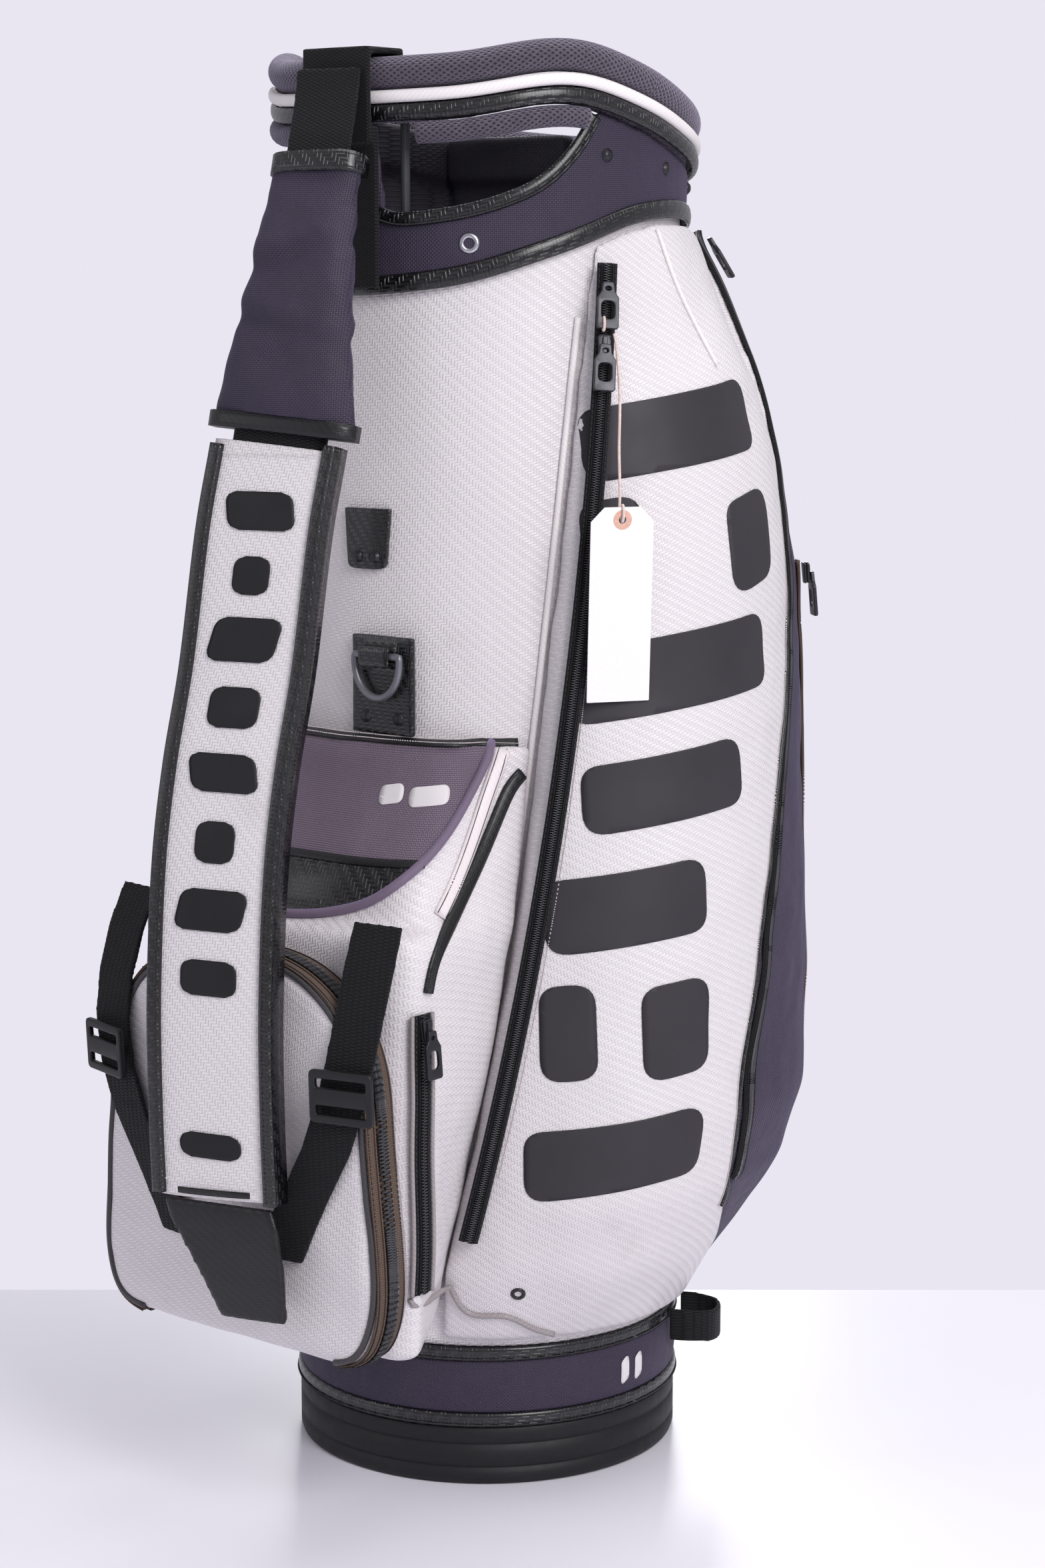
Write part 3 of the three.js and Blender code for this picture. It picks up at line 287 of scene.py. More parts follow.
def spacer_mesh(name, color, lit, hole):
    """Spacer mesh: staggered oval holes between raised threads, with painted shade in the holes, which are
    only bumps.
    """
    s = Shader(name, 0.8, Sheen_Weight=0.5, Sheen_Roughness=0.5, Sheen_Tint=(0.75, 0.7, 0.9, 1))
    wide, tall = 0.0033, 0.0046
    _, _, x, y = s.cells(wide, tall)
    def dip(dx):
        px = s.math("SUBTRACT", s.math("FRACT", s.math("ADD", x, dx)), 0.5)
        py = s.math("SUBTRACT", s.math("FRACT", s.math("ADD", y, dx)), 0.5)
        return s.math("SQRT", s.math("ADD", s.math("MULTIPLY", px, px), s.math("MULTIPLY", py, py)))
    near = s.math("MINIMUM", dip(0.0), dip(0.5))
    raised = s.step(near, 0.12, 0.3)
    mottled = s.mix(s.noise(0.004, 2.0), rgb(color), rgb(lit))
    # painted shade: the holes take the dark hole colour
    tone = s.mix(raised, rgb(hole), mottled)
    return s.finish(tone, 0.85, s.bump(raised, 0.0007, s.bump(s.noise(0.012), 0.0006)))


def webbing(name, color, lit, rib=0.0021, column=0.0032):
    """Woven strapping with ribs across it, and a painted highlight on the rib crowns."""
    s = Shader(name, 0.75, Sheen_Weight=0.06, Sheen_Roughness=0.5, Specular_IOR_Level=0.22)
    i, j, x, y = s.cells(column, rib)
    shifted = s.math("FRACT", s.math("ADD", y, s.math("MULTIPLY", s.math("FLOORED_MODULO", i, 2.0), 0.5)))
    height = s.math("MULTIPLY", s.hump(shifted), s.math("POWER", s.hump(x), 0.4))
    # painted highlight: the rib crowns take the lit colour
    tone = s.mix(s.step(height, 0.2, 0.9), rgb(color), rgb(lit))
    fuzz = s.bump(s.noise(0.0006, 2.0), 0.00008)
    return s.finish(tone, s.span(s.noise(0.006), 0.6, 0.85), s.bump(height, 0.0005, fuzz))


def moulded(name, color, worn, roughness, grain=0.0012, depth=0.00006, metallic=0.0, coat=0.0):
    """Moulded plastic, rubber or painted metal: fine grain, scuffs, and paler worn edges."""
    s = Shader(name, roughness, metallic, Coat_Weight=coat, Coat_Roughness=0.15, Specular_IOR_Level=0.35)
    edge = s.step(s.node("NewGeometry").outputs["Pointiness"], 0.52, 0.62)
    scuff = s.step(s.noise(0.012, 8.0, (1, 1, 3)), 0.6, 0.72)
    wear = s.math("MULTIPLY", s.math("ADD", edge, s.math("MULTIPLY", scuff, 0.5)), 0.5)
    tone = s.mix(wear, s.mix(s.noise(0.03), rgb(color), rgb(worn)), rgb(worn))
    base = s.mix(0.25, rgb(color), tone)
    rough = s.span(s.noise(0.008, 5.0), roughness - 0.08, roughness + 0.14)
    return s.finish(base, rough, s.bump(s.noise(grain, 4.0), depth))


def thread(name, color, shade, twist=0.0011):
    """Twisted sewing thread or string."""
    s = Shader(name, 0.75, Sheen_Weight=0.3, Sheen_Roughness=0.5)
    fibre = s.noise(twist, 3.0)
    return s.finish(s.mix(fibre, rgb(shade), rgb(color)), 0.8, s.bump(fibre, 0.00015))


def printed(name, color, worn):
    """A flat rubbery print, with a fine surface and a few worn spots."""
    s = Shader(name, 0.55, Specular_IOR_Level=0.25)
    spots = s.step(s.noise(0.006, 8.0), 0.67, 0.75)
    tone = s.mix(s.math("MULTIPLY", spots, 0.4), s.mix(s.noise(0.05), rgb(color), rgb(worn)), rgb(worn))
    return s.finish(s.mix(0.4, rgb(color), tone), s.span(s.noise(0.02), 0.42, 0.6),
                    s.bump(s.noise(0.0007, 3.0), 0.00003))


def paper(name, color, shade):
    s = Shader(name, 0.85)
    fibres = s.noise(0.0016, 6.0, (1, 1, 4))
    return s.finish(s.mix(s.step(fibres, 0.3, 0.8), rgb(shade), rgb(color)), 0.85,
                    s.bump(fibres, 0.00005, s.bump(s.noise(0.03), 0.0006)))


LOOKS = {
    "white": coated_cloth("white coated cloth", "#e4dfe1", "#d2ccd0", 0.0019, 0.00026, 0.4, 0.12),
    "smooth_white": coated_cloth("smooth white cloth", "#e9e1e2", "#ddd4d5", 0.0011, 0.00004, 0.42, 0.1),
    "carbon": coated_cloth("black twill binding", "#0e0d10", "#040405", 0.0026, 0.0007, 0.22, 0.7, "#2a292d"),
    "black_cloth": coated_cloth("black coated cloth", "#0f0e11", "#09090b", 0.0014, 0.0001, 0.42, 0.25,
                                "#2a292c"),
    "navy": nylon("navy nylon", "#17131f", "#3b3149", "#050409", sheen=0.14),
    "mauve": nylon("mauve nylon", "#4a3f50", "#7d6d7e", "#1a151c", sheen=0.2, tint=(0.8, 0.65, 0.8, 1)),
    "mauve_edge": nylon("mauve piping", "#5b4d5e", "#84748a", "#3a3040", 0.0007, 0.00008),
    "mesh": spacer_mesh("spacer mesh", "#3a333f", "#5e5563", "#0c0a0e"),
    "web": webbing("black webbing", "#060607", "#1b1a1d"),
    "tape": webbing("zip tape", "#08080a", "#1d1c20", 0.0011, 0.0016),
    "brown_tape": webbing("brown zip tape", "#4a3a33", "#7a6558", 0.0011, 0.0016),
    "lining": nylon("lining", "#161519", "#2f2c34", "#070608", 0.0016, 0.0002, 0.2),
    "rubber": moulded("moulded rubber", "#0f0e11", "#2b2a2e", 0.5, 0.0016, 0.00012),
    "plastic": moulded("black plastic", "#111113", "#3a393d", 0.35),
    "teeth": moulded("zip teeth", "#1a1a1d", "#77767c", 0.25, coat=0.4),
    "enamel": moulded("dark enamel", "#26262a", "#6a696f", 0.3, metallic=0.55),
    "steel": moulded("brushed steel", "#b9b9bf", "#dedee2", 0.22, metallic=1.0),
    "grey_metal": moulded("grey metal", "#73747a", "#a3a4aa", 0.36, metallic=0.55),
    "rod": moulded("rod", "#303236", "#55575c", 0.5),
    "white_thread": thread("white thread", "#efe8e8", "#b5abab"),
    "dark_thread": thread("dark thread", "#2a282c", "#0d0c0e"),
    "string": thread("tag string", "#efe6e2", "#c39a8b", 0.0022),
    "print": printed("charcoal print", "#302e32", "#4a484d"),
    "black_print": printed("black print", "#121114", "#3a393c"),
    "pale_print": printed("pale print", "#e4e0e2", "#b4adb0"),
    "card": paper("white card", "#faf8f9", "#e9e5e7"),
    "patch": paper("card patch", "#e6bfae", "#cfa08c"),
    "piping": coated_cloth("white piping", "#f1ecec", "#ddd6d6", 0.0009, 0.00003, 0.4, 0.15),
    # pipings that are white like the one above, drawn grey and near-black: painted shade for pipings in
    # shadow
    "piping_in_shade": coated_cloth("grey piping", "#a39b9c", "#7e7779", 0.0009, 0.00003, 0.4, 0.2),
    "piping_in_deep_shade": coated_cloth("dark piping", "#3d3a3d", "#262427", 0.0009, 0.00003, 0.38, 0.25),
}


# ---------------------------------------------------------------- meshes
def polar(r, phi, z=0.0):
    return Vector((r * math.cos(math.radians(phi)), r * math.sin(math.radians(phi)), z))


def lerp(a, b, t):
    return a + (b - a) * t


def smooth(t):
    t = min(max(t, 0.0), 1.0)
    return t * t * (3 - 2 * t)


def spline(points, step=0.004):
    """Evenly spaced points along a smooth curve through a few."""
    p = [np.array(q, float) for q in points]
    p = [2 * p[0] - p[1], *p, 2 * p[-1] - p[-2]]
    fine = []
    for a, b, c, d in zip(p, p[1:], p[2:], p[3:]):
        for t in np.linspace(0, 1, 24, endpoint=False):
            fine.append(0.5 * (2 * b + (c - a) * t + (2 * a - 5 * b + 4 * c - d) * t * t
                               + (3 * b - a - 3 * c + d) * t ** 3))
    fine.append(p[-2])
    return respaced(np.array(fine), step)


def respaced(points, step):
    gaps = np.linalg.norm(np.diff(points, axis=0), axis=1)
    along = np.concatenate([[0], np.cumsum(gaps)])
    count = max(2, int(round(along[-1] / step)) + 1)
    at = np.linspace(0, along[-1], count)
    return np.stack([np.interp(at, along, points[:, k]) for k in range(points.shape[1])], 1)


def piece(name, verts, faces, look, body="root", uvs=None, shade=True):
    """A mesh that rides on a body, or on none yet. uvs holds one pair for each corner of each face."""
    mesh = bpy.data.meshes.new(name)
    mesh.from_pydata([tuple(v) for v in verts], [], [tuple(f) for f in faces])
    mesh.polygons.foreach_set("use_smooth", [shade] * len(mesh.polygons))
    layer = mesh.uv_layers.new(name=WEAVE)
    if uvs is not None:
        layer.data.foreach_set("uv", np.asarray(uvs, np.float32).ravel())
    mesh.materials.append(LOOKS[look])
    mesh.update()
    made = bpy.data.objects.new(name, mesh)
    bpy.context.scene.collection.objects.link(made)
    if body:
        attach(made, body)
    return made


def lengths(points):
    gaps = np.linalg.norm(np.diff(points, axis=0), axis=1)
    return np.concatenate([[0], np.cumsum(gaps)])


def thicken(made, thick, offset=-1):
    """Gives a sheet its thickness, inwards unless offset says otherwise."""
    solid = made.modifiers.new("thickness", "SOLIDIFY")
    solid.thickness, solid.offset = thick, offset


def sheet_of(name, grid, look, body="root", wrap=False, slant=0.0, thick=0.0):
    """A sheet through a grid of points, with the weave laid out on it by length; wrap closes its columns."""
    grid = np.asarray(grid, float)
    nu, nv = grid.shape[:2]
    ring = np.concatenate([grid, grid[:1]]) if wrap else grid
    mid = nv // 2
    across = lengths(ring[:, mid])
    up = np.mean([lengths(ring[i]) for i in range(0, len(ring), max(1, len(ring) // 8))], axis=0)
    faces, uvs = [], []
    for i in range(len(ring) - 1):
        for j in range(nv - 1):
            i2 = (i + 1) % nu
            faces.append((i * nv + j, i2 * nv + j, i2 * nv + j + 1, i * nv + j + 1))
            for a, b in ((i, j), (i + 1, j), (i + 1, j + 1), (i, j + 1)):
                u, v = across[a], up[b]
                uvs.append((u + slant * v, v - slant * u))
    made = piece(name, grid.reshape(-1, 3), faces, look, body, uvs)
    if thick:
        thicken(made, thick)
    return made


def sweep(name, points, normals, section, look, body="root", closed=False, scale=None, caps=True):
    """A section, in pairs of across and out, carried along a path whose surface faces along normals."""
    points, normals = np.asarray(points, float), np.asarray(normals, float)
    n, k = len(points), len(section)
    if closed:
        tangents = np.roll(points, -1, 0) - np.roll(points, 1, 0)
    else:
        tangents = np.gradient(points, axis=0)
    tangents /= np.linalg.norm(tangents, axis=1)[:, None]
    normals = normals - (normals * tangents).sum(1)[:, None] * tangents
    normals /= np.linalg.norm(normals, axis=1)[:, None]
    sides = np.cross(tangents, normals)
    shape = np.array(section, float)
    size = np.ones(n) if scale is None else np.asarray(scale, float)
    verts = (points[:, None] + sides[:, None] * (shape[None, :, :1] * size[:, None, None])
             + normals[:, None] * (shape[None, :, 1:2] * np.minimum(size, 1)[:, None, None]))
    loop = np.concatenate([shape, shape[:1]])
    round_it = lengths(loop)
    along = lengths(np.concatenate([points, points[:1]]) if closed else points)
    faces, uvs = [], []
    for i in range(n if closed else n - 1):
        for j in range(k):
            a, b = (i + 1) % n, (j + 1) % k
            faces.append((i * k + j, i * k + b, a * k + b, a * k + j))
            for s, t in ((i, j), (i, j + 1), (i + 1, j + 1), (i + 1, j)):
                uvs.append((round_it[t], along[s]))
    if caps and not closed:
        for i, order in ((0, range(k - 1, -1, -1)), (n - 1, range(k))):
            faces.append([i * k + j for j in order])
            uvs += [tuple(shape[j]) for j in order]
    return piece(name, verts.reshape(-1, 3), faces, look, body, uvs)


def round_section(r, sides=12, flat=0.0):
    """A circle; flat lowers its centre to that share of the radius above the surface."""
    return [(r * math.cos(a), r * (1 - flat) + r * math.sin(a))
            for a in [-2 * math.pi * i / sides for i in range(sides)]]


def band_section(width, thick, dome=0.0, lift=0.0, columns=8, edge=0.35):
    """A flat band with soft edges and a crowned front."""
    top = []
    for i in range(columns + 1):
        x = -1 + 2 * i / columns
        h = thick * (1 - edge * abs(x) ** 8) + dome * (1 - x * x)
        top.append((x * width / 2, lift + h))
    bottom = [(width / 2 * 0.98, lift), (-width / 2 * 0.98, lift)]
    return top + bottom


def stitch_line(name, points, normals, look="white_thread", body="root", pitch=0.0036, r=0.00034, share=0.66,
                lift=0.0003):
    """A row of stitches: short rounded lengths of thread, each dipping at both ends."""
    both = respaced(np.concatenate([points, normals], 1), pitch)
    verts, faces = [], []
    for start, stop in zip(both[:-1], both[1:]):
        a, out = start[:3], start[3:] / np.linalg.norm(start[3:])
        t = (stop[:3] - a) * share
        side = np.cross(t / np.linalg.norm(t), out)
        base = len(verts)
        for s, height, width in ((0, -1.2, 0.5), (0.2, 0.5, 1), (0.8, 0.5, 1), (1, -1.2, 0.5)):
            middle = a + t * s + out * (lift + r * height)
            for k in range(5):
                angle = 2 * math.pi * k / 5
                verts.append(middle + (side * math.cos(angle) + out * math.sin(angle)) * r * width)
        for ring in range(3):
            for k in range(5):
                p, q = base + ring * 5 + k, base + ring * 5 + (k + 1) % 5
                faces.append((p, q, q + 5, p + 5))
        faces.append([base + k for k in range(4, -1, -1)])
        faces.append([base + 15 + k for k in range(5)])
    return piece(name, verts, faces, look, body)


def tooth_rows(name, points, normals, pitch, reach, width, look="teeth", body="root", lift=0.0005,
               high=0.0009):
    """Two rows of zip teeth, or of a coil's turns, that mesh along a path."""
    both = respaced(np.concatenate([points, normals], 1), pitch / 2)
    tangents = np.gradient(both[:, :3], axis=0)
    verts, faces = [], []
    ring = [(-1, 0.0), (-0.75, 1.0), (0.75, 1.0), (1, 0.0)]
    for i, (spot, tangent) in enumerate(zip(both, tangents)):
        out = spot[3:] / np.linalg.norm(spot[3:])
        t = tangent / np.linalg.norm(tangent)
        side = np.cross(t, out) * (1 if i % 2 else -1)
        base = len(verts)
        for x, grow in ((-0.22 * reach, 0.7), (0.35 * reach, 1.0), (reach, 0.85)):
            for a, b in ring:
                corner = spot[:3] + side * x + t * (a * width * grow / 2)
                verts.append(corner + out * (lift + b * high * grow))
        for s in range(2):
            for k in range(3):
                p = base + 4 * s + k
                faces.append((p, p + 1, p + 5, p + 4) if i % 2 else (p, p + 4, p + 5, p + 1))
        ends = [[base + k for k in range(4)], [base + 8 + k for k in range(3, -1, -1)]]
        faces += ends if i % 2 else [list(reversed(e)) for e in ends]
    return piece(name, verts, faces, look, body)


def lathe(name, outline, look, body="root", centre=(0, 0, 0), axis=(0, 0, 1), steps=96):
    """A turned piece: outline holds pairs of radius and height, from the axis out and back."""
    turn = Vector((0, 0, 1)).rotation_difference(Vector(axis)).to_matrix()
    verts, faces, uvs = [], [], []
    n = len(outline)
    edge = lengths(np.array(outline, float))
    wide = max(r for r, _ in outline)
    for i in range(steps):
        for r, z in outline:
            verts.append(Vector(centre) + turn @ polar(max(r, 1e-6), 360 * i / steps, z))
    for i in range(steps):
        for j in range(n - 1):
            a = (i + 1) % steps
            faces.append((i * n + j, a * n + j, a * n + j + 1, i * n + j + 1))
            for s, t in ((i, j), (i + 1, j), (i + 1, j + 1), (i, j + 1)):
                uvs.append((2 * math.pi * wide * s / steps, edge[t]))
    made = piece(name, verts, faces, look, body, uvs)
    weld(made)
    return made


def weld(made, distance=2e-6):
    mesh = bmesh.new()
    mesh.from_mesh(made.data)
    bmesh.ops.remove_doubles(mesh, verts=mesh.verts, dist=distance)
    bmesh.ops.recalc_face_normals(mesh, faces=mesh.faces)
    mesh.to_mesh(made.data)
    mesh.free()


def keep(made, look_slot, *nodes):
    """Says which material slot a piece belongs to and which CAD nodes it stands for."""
    if nodes:
        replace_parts(made, *nodes)
    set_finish(made, look_slot)
    return made


def mirrored(made, left_body=None):
    """The left copy of a piece made for the right."""
    mesh = made.data.copy()
    mesh.transform(Matrix.Scale(-1, 4, (1, 0, 0)))
    mesh.flip_normals()
    name = made.name.replace("right", "left")
    copy = bpy.data.objects.new(name if name != made.name else made.name + "_left", mesh)
    bpy.context.scene.collection.objects.link(copy)
    for modifier in made.modifiers:
        twin = copy.modifiers.new(modifier.name, modifier.type)
        for key in ("thickness", "offset", "levels", "render_levels"):
            if hasattr(modifier, key):
                setattr(twin, key, getattr(modifier, key))
    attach(copy, left_body or made["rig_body"].replace("right", "left"))
    swapped = [n.replace("right", "left") for n in made.get("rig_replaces", [])]
    if swapped:
        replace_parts(copy, *[n for n in swapped if n.endswith("left")])
    if "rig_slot" in made:
        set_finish(copy, made["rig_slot"])
    return copy


# ---------------------------------------------------------------- surfaces of the frame
class Skin:
    """The outside of some objects, found by rays."""

    def __init__(self, *objects):
        verts, polygons = [], []
        for obj in objects:
            base = len(verts)
            verts += [v.co.copy() for v in obj.data.vertices]
            polygons += [[base + i for i in p.vertices] for p in obj.data.polygons]
        self.tree = BVHTree.FromPolygons(verts, polygons)

    def shot(self, origin, direction):
        return self.tree.ray_cast(Vector(origin), Vector(direction).normalized())[0]

    def radius(self, phi, z):
        """Radius of the surface at an angle and height, or None."""
        hit = self.shot(polar(0.45, phi, z), polar(-1, phi))
        return None if hit is None else math.hypot(hit.x, hit.y)


class Round:
    """A finished surface round the bag, that trims and stitches are laid on."""

    def __init__(self, *objects):
        self.skin = Skin(*objects)
        self.last = 0.14

    def at(self, phi, z, lift=0.0):
        """A point and the way out of the surface, at an angle and height."""
        def r(p, h):
            found = self.skin.radius(p, h)
            self.last = found if found is not None else self.last
            return self.last
        here = r(phi, z)
        turn, rise = 0.8, 0.003
        slope = (r(phi + turn, z) - r(phi - turn, z)) / (2 * math.radians(turn))
        climb = (r(phi, z + rise) - r(phi, z - rise)) / (2 * rise)
        normal = polar(1, phi) - polar(slope / here, phi + 90) - Vector((0, 0, climb))
        normal.normalize()
        self.last = here
        return polar(here, phi, z) + normal * lift, normal

    def along(self, knots, step=0.004, lift=0.0, calm=2):
        """Points and normals along a smooth line through (phi, z in mm) knots."""
        mean_r = 0.18
        flat = spline([(math.radians(p) * mean_r, z * MM, 0) for p, z in knots], step)
        found = [self.at(math.degrees(a / mean_r), z, lift) for a, z, _ in flat]
        points = np.array([list(p) for p, _ in found])
        normals = np.array([list(n) for _, n in found])
        for _ in range(calm):
            points[1:-1] = 0.5 * points[1:-1] + 0.25 * (points[:-2] + points[2:])
            normals[1:-1] = 0.5 * normals[1:-1] + 0.25 * (normals[:-2] + normals[2:])
        return points, normals


def puckers(phi, z, size, depth, seed=0.0):
    """Soft unevenness of a filled cloth panel, in metres."""
    a = noise.noise(Vector((math.radians(phi) * 0.18 / size, z / size, seed)))
    b = noise.noise(Vector((math.radians(phi) * 0.36 / size, 2 * z / size, seed + 7.7)))
    return depth * (a + 0.4 * b)


# ---------------------------------------------------------------- cloth made from the frame's nodes
def node_mesh(*names):
    """One mesh from the corners and faces of some CAD nodes."""
    verts, faces = [], []
    for name in names:
        data = NODES[name].data
        base = len(verts)
        verts += [v.co.copy() for v in data.vertices]
        faces += [[base + i for i in p.vertices] for p in data.polygons]
    mesh = bpy.data.meshes.new("copy of " + names[0])
    mesh.from_pydata(verts, [], faces)
    mesh.update()
    return mesh


def remeshed(mesh, voxel):
    """Vertex and face arrays of a mesh, remeshed evenly."""
    obj = bpy.data.objects.new("remesh", mesh)
    bpy.context.scene.collection.objects.link(obj)
    welding = obj.modifiers.new("weld", "WELD")
    welding.merge_threshold = 1e-5
    even = obj.modifiers.new("even", "REMESH")
    even.mode, even.voxel_size = "VOXEL", voxel
    graph = bpy.context.evaluated_depsgraph_get()
    result = obj.evaluated_get(graph).to_mesh()
    verts = np.empty(len(result.vertices) * 3, np.float32)
    result.vertices.foreach_get("co", verts)
    faces = [tuple(p.vertices) for p in result.polygons]
    obj.evaluated_get(graph).to_mesh_clear()
    bpy.data.objects.remove(obj)
    return verts.reshape(-1, 3).astype(float), faces


def relaxed(verts, faces, times):
    """Laplacian smoothing; every third step swells again, so a piece shrinks only a little."""
    edges = np.array(list({tuple(sorted(e)) for f in faces for e in zip(f, f[1:] + f[:1])}))
    count = np.bincount(edges.ravel(), minlength=len(verts))[:, None]
    for i in range(times):
        total = np.zeros_like(verts)
        np.add.at(total, edges[:, 0], verts[edges[:, 1]])
        np.add.at(total, edges[:, 1], verts[edges[:, 0]])
        share = 0.5 if i % 3 < 2 else -0.52
        verts = verts + share * (total / count - verts)
    return verts


def bag_uvs(verts, faces, radius=0.2, slant=0.0):
    """Round the bag by angle, and across it on tops and undersides."""
    uvs = []
    for f in faces:
        a, b, c = verts[f[0]], verts[f[1]], verts[f[2]]
        n = np.cross(b - a, c - b)
        level = abs(n[2]) > 0.85 * np.linalg.norm(n)
        first = math.atan2(a[1], a[0])
        for i in f:
            x, y, z = verts[i]
            turn = math.atan2(y, x)
            turn += 2 * math.pi * round((first - turn) / (2 * math.pi))
            u, v = (x, y) if level else (turn * radius, z)
            uvs.append((u + slant * v, v - slant * u))
    return uvs


def cloth_copy(name, nodes, look, body="root", voxel=0.003, calm=30, crease=0.0008, size=0.045, radius=0.2,
               slant=0.0, seed=0.0):
    """A softened, slightly uneven copy of CAD nodes, for cloth that keeps their outline."""
    verts, faces = remeshed(node_mesh(*nodes), voxel)
    verts = relaxed(verts, faces, calm)
    uvs = bag_uvs(verts, faces, radius, slant)
    made = piece(name, verts, faces, look, body, uvs)
    normals = np.empty(len(verts) * 3, np.float32)
    made.data.vertices.foreach_get("normal", normals)
    push = np.array([puckers(math.degrees(math.atan2(y, x)), z, size, crease, seed) for x, y, z in verts])
    made.data.vertices.foreach_set("co", (verts + normals.reshape(-1, 3) * push[:, None]).ravel())
    made.data.update()
    return made


def ring_heights(node, r, down=True, step=3.0):
    """Height of a node's top, or underside, all the way round at a radius."""
    skin = Skin(NODES[node])
    origin = 1.2 if down else -0.1
    found = []
    for i in range(int(360 / step)):
        hit = skin.shot(polar(r, i * step, origin), (0, 0, -1 if down else 1))
        found.append(None if hit is None else hit.z)
    known = [i for i, z in enumerate(found) if z is not None]
    return np.interp(np.arange(len(found)), known, [found[i] for i in known], period=len(found))


def ring_path(r, heights, calm=3):
    """Points round the bag at a radius and at heights, and the ways out of it."""
    zs = np.array(heights)
    for _ in range(calm):
        zs = 0.5 * zs + 0.25 * (np.roll(zs, 1) + np.roll(zs, -1))
    angles = np.arange(len(zs)) * 360 / len(zs)
    points = np.array([list(polar(r, a, z)) for a, z in zip(angles, zs)])
    normals = np.array([list(polar(1, a)) for a in angles])
    return points, normals


def hoop(name, r, heights, section, look, body="root"):
    points, normals = ring_path(r, heights)
    return sweep(name, points, normals, section, look, body, closed=True)


def wall(name, r, low, high, look, thick, rows=60, bulge=0.0, crease=0.0, slant=0.0, seed=0.0):
    """A round cloth wall between two lists of heights, with its thickness inwards."""
    n = len(high)
    grid = []
    for i in range(n):
        phi = 360 * i / n
        column = []
        for j in range(rows + 1):
            t = j / rows
            z = lerp(low[i], high[i], t)
            out = bulge * math.sin(math.pi * t) + (puckers(phi, z, 0.07, crease, seed) if crease else 0)
            column.append(list(polar(r + out, phi, z)))
        grid.append(column)
    return sheet_of(name, grid, look, wrap=True, slant=slant, thick=thick)


# ---------------------------------------------------------------- flat parts cut from an outline
def frame_at(origin, across, down):
    """A frame whose x runs across, y up against down, and z out of the face."""
    x = Vector(across).normalized()
    y = -Vector(down)
    y = (y - x * y.dot(x)).normalized()
    z = x.cross(y)
    turned = Matrix((x, y, z)).transposed().to_4x4()
    turned.translation = Vector(origin)
    return turned


def flat_curve(name, outlines):
    """A filled curve in a plane: the first outline is its edge and the others are holes."""
    curve = bpy.data.curves.new(name, "CURVE")
    curve.dimensions, curve.fill_mode = "2D", "BOTH"
    for outline in outlines:
        line = curve.splines.new("POLY")
        line.points.add(len(outline) - 1)
        for point, (x, y) in zip(line.points, outline):
            point.co = (x, y, 0, 1)
        line.use_cyclic_u = True
    holder = bpy.data.objects.new(name, curve)
    bpy.context.scene.collection.objects.link(holder)
    return holder


def facing_frame(origin, axis, down, outward):
    """A frame with x along an axis, either way, so that z faces outward."""
    place = frame_at(origin, axis, down)
    if (place.to_3x3() @ Vector((0, 0, 1))).dot(outward) < 0:
        place = frame_at(origin, -axis, down)
    return place


def plate(name, outlines, thick, bevel, place, look, body="root"):
    """A flat part with bevelled edges, cut from outlines; place sets it in the frame."""
    holder = flat_curve(name, outlines)
    curve = holder.data
    curve.extrude, curve.bevel_depth, curve.bevel_resolution = thick / 2 - bevel, bevel, 3
    curve.offset = -bevel
    graph = bpy.context.evaluated_depsgraph_get()
    cut = holder.evaluated_get(graph).to_mesh()
    verts = [v.co.copy() for v in cut.vertices]
    faces = [tuple(p.vertices) for p in cut.polygons]
    uvs = [(verts[i].x, verts[i].y) for f in faces for i in f]
    holder.evaluated_get(graph).to_mesh_clear()
    bpy.data.objects.remove(holder)
    made = piece(name, [place @ v for v in verts], faces, look, body, uvs)
    weld(made)
    made.data.shade_smooth()
    sharp = made.modifiers.new("edges", "EDGE_SPLIT")
    sharp.split_angle = math.radians(50)
    return made


def rounded(outline, r, steps=5):
    """An outline with its corners rounded; r is one radius or one for each corner."""
    done = []
    n = len(outline)
    for i in range(n):
        a, b, c = (Vector(outline[k % n]) for k in (i - 1, i, i + 1))
        radius = r if isinstance(r, (int, float)) else r[i]
        u, v = (a - b).normalized(), (c - b).normalized()
        half = math.acos(max(-1, min(1, u.dot(v)))) / 2
        reach = min(radius / math.tan(half), 0.49 * min((a - b).length, (c - b).length))
        p, q = b + u * reach, b + v * reach
        for k in range(steps + 1):
            t = k / steps
            spot = p * (1 - t) ** 2 + b * 2 * t * (1 - t) + q * t * t
            done.append((spot.x, spot.y))
    return done


def oval(cx, cy, rx, ry, steps=20, power=2.0):
    """A rounded window; a higher power squares it."""
    spots = []
    for i in range(steps):
        a = 2 * math.pi * i / steps
        c, s = math.cos(a), math.sin(a)
        spots.append((cx + rx * math.copysign(abs(c) ** (2 / power), c),
                      cy + ry * math.copysign(abs(s) ** (2 / power), s)))
    return spots


# ---------------------------------------------------------------- the cord, and the tag on it
STRING_START = Vector((0.149696, -0.052393, 0.76178))
STRING_STEPS = ((0, 0, 0), (0.0008, 0.0009, -0.005), (0.003, 0.0006, -0.020), (0.0064, -0.0019, -0.042),
                (0.0106, -0.0079, -0.072), (0.015, -0.0126, -0.095), (0.0165, -0.0148, -0.107),
                (0.0169, -0.0151, -0.115))
STRING_D = 0.0018
TAG_W, TAG_L, TAG_T, TAG_CLIP, TAG_HOLE, TAG_HOLE_DOWN = 0.042, 0.124, 0.0009, 0.009, 0.005, 0.008
TAG_FACING, TAG_TILT = -32, 0.06


def make_string():
    route = [STRING_START + Vector(step) for step in STRING_STEPS]
    path = spline(route, 0.0015)
    normals = np.tile([0.6, -0.8, 0.0], (len(path), 1))
    string = sweep("tag_string_cord", path, normals, round_section(STRING_D / 2, 10, flat=1.0), "string",
                   "swing_tag")
    return keep(string, "string_white", "tag_string"), path


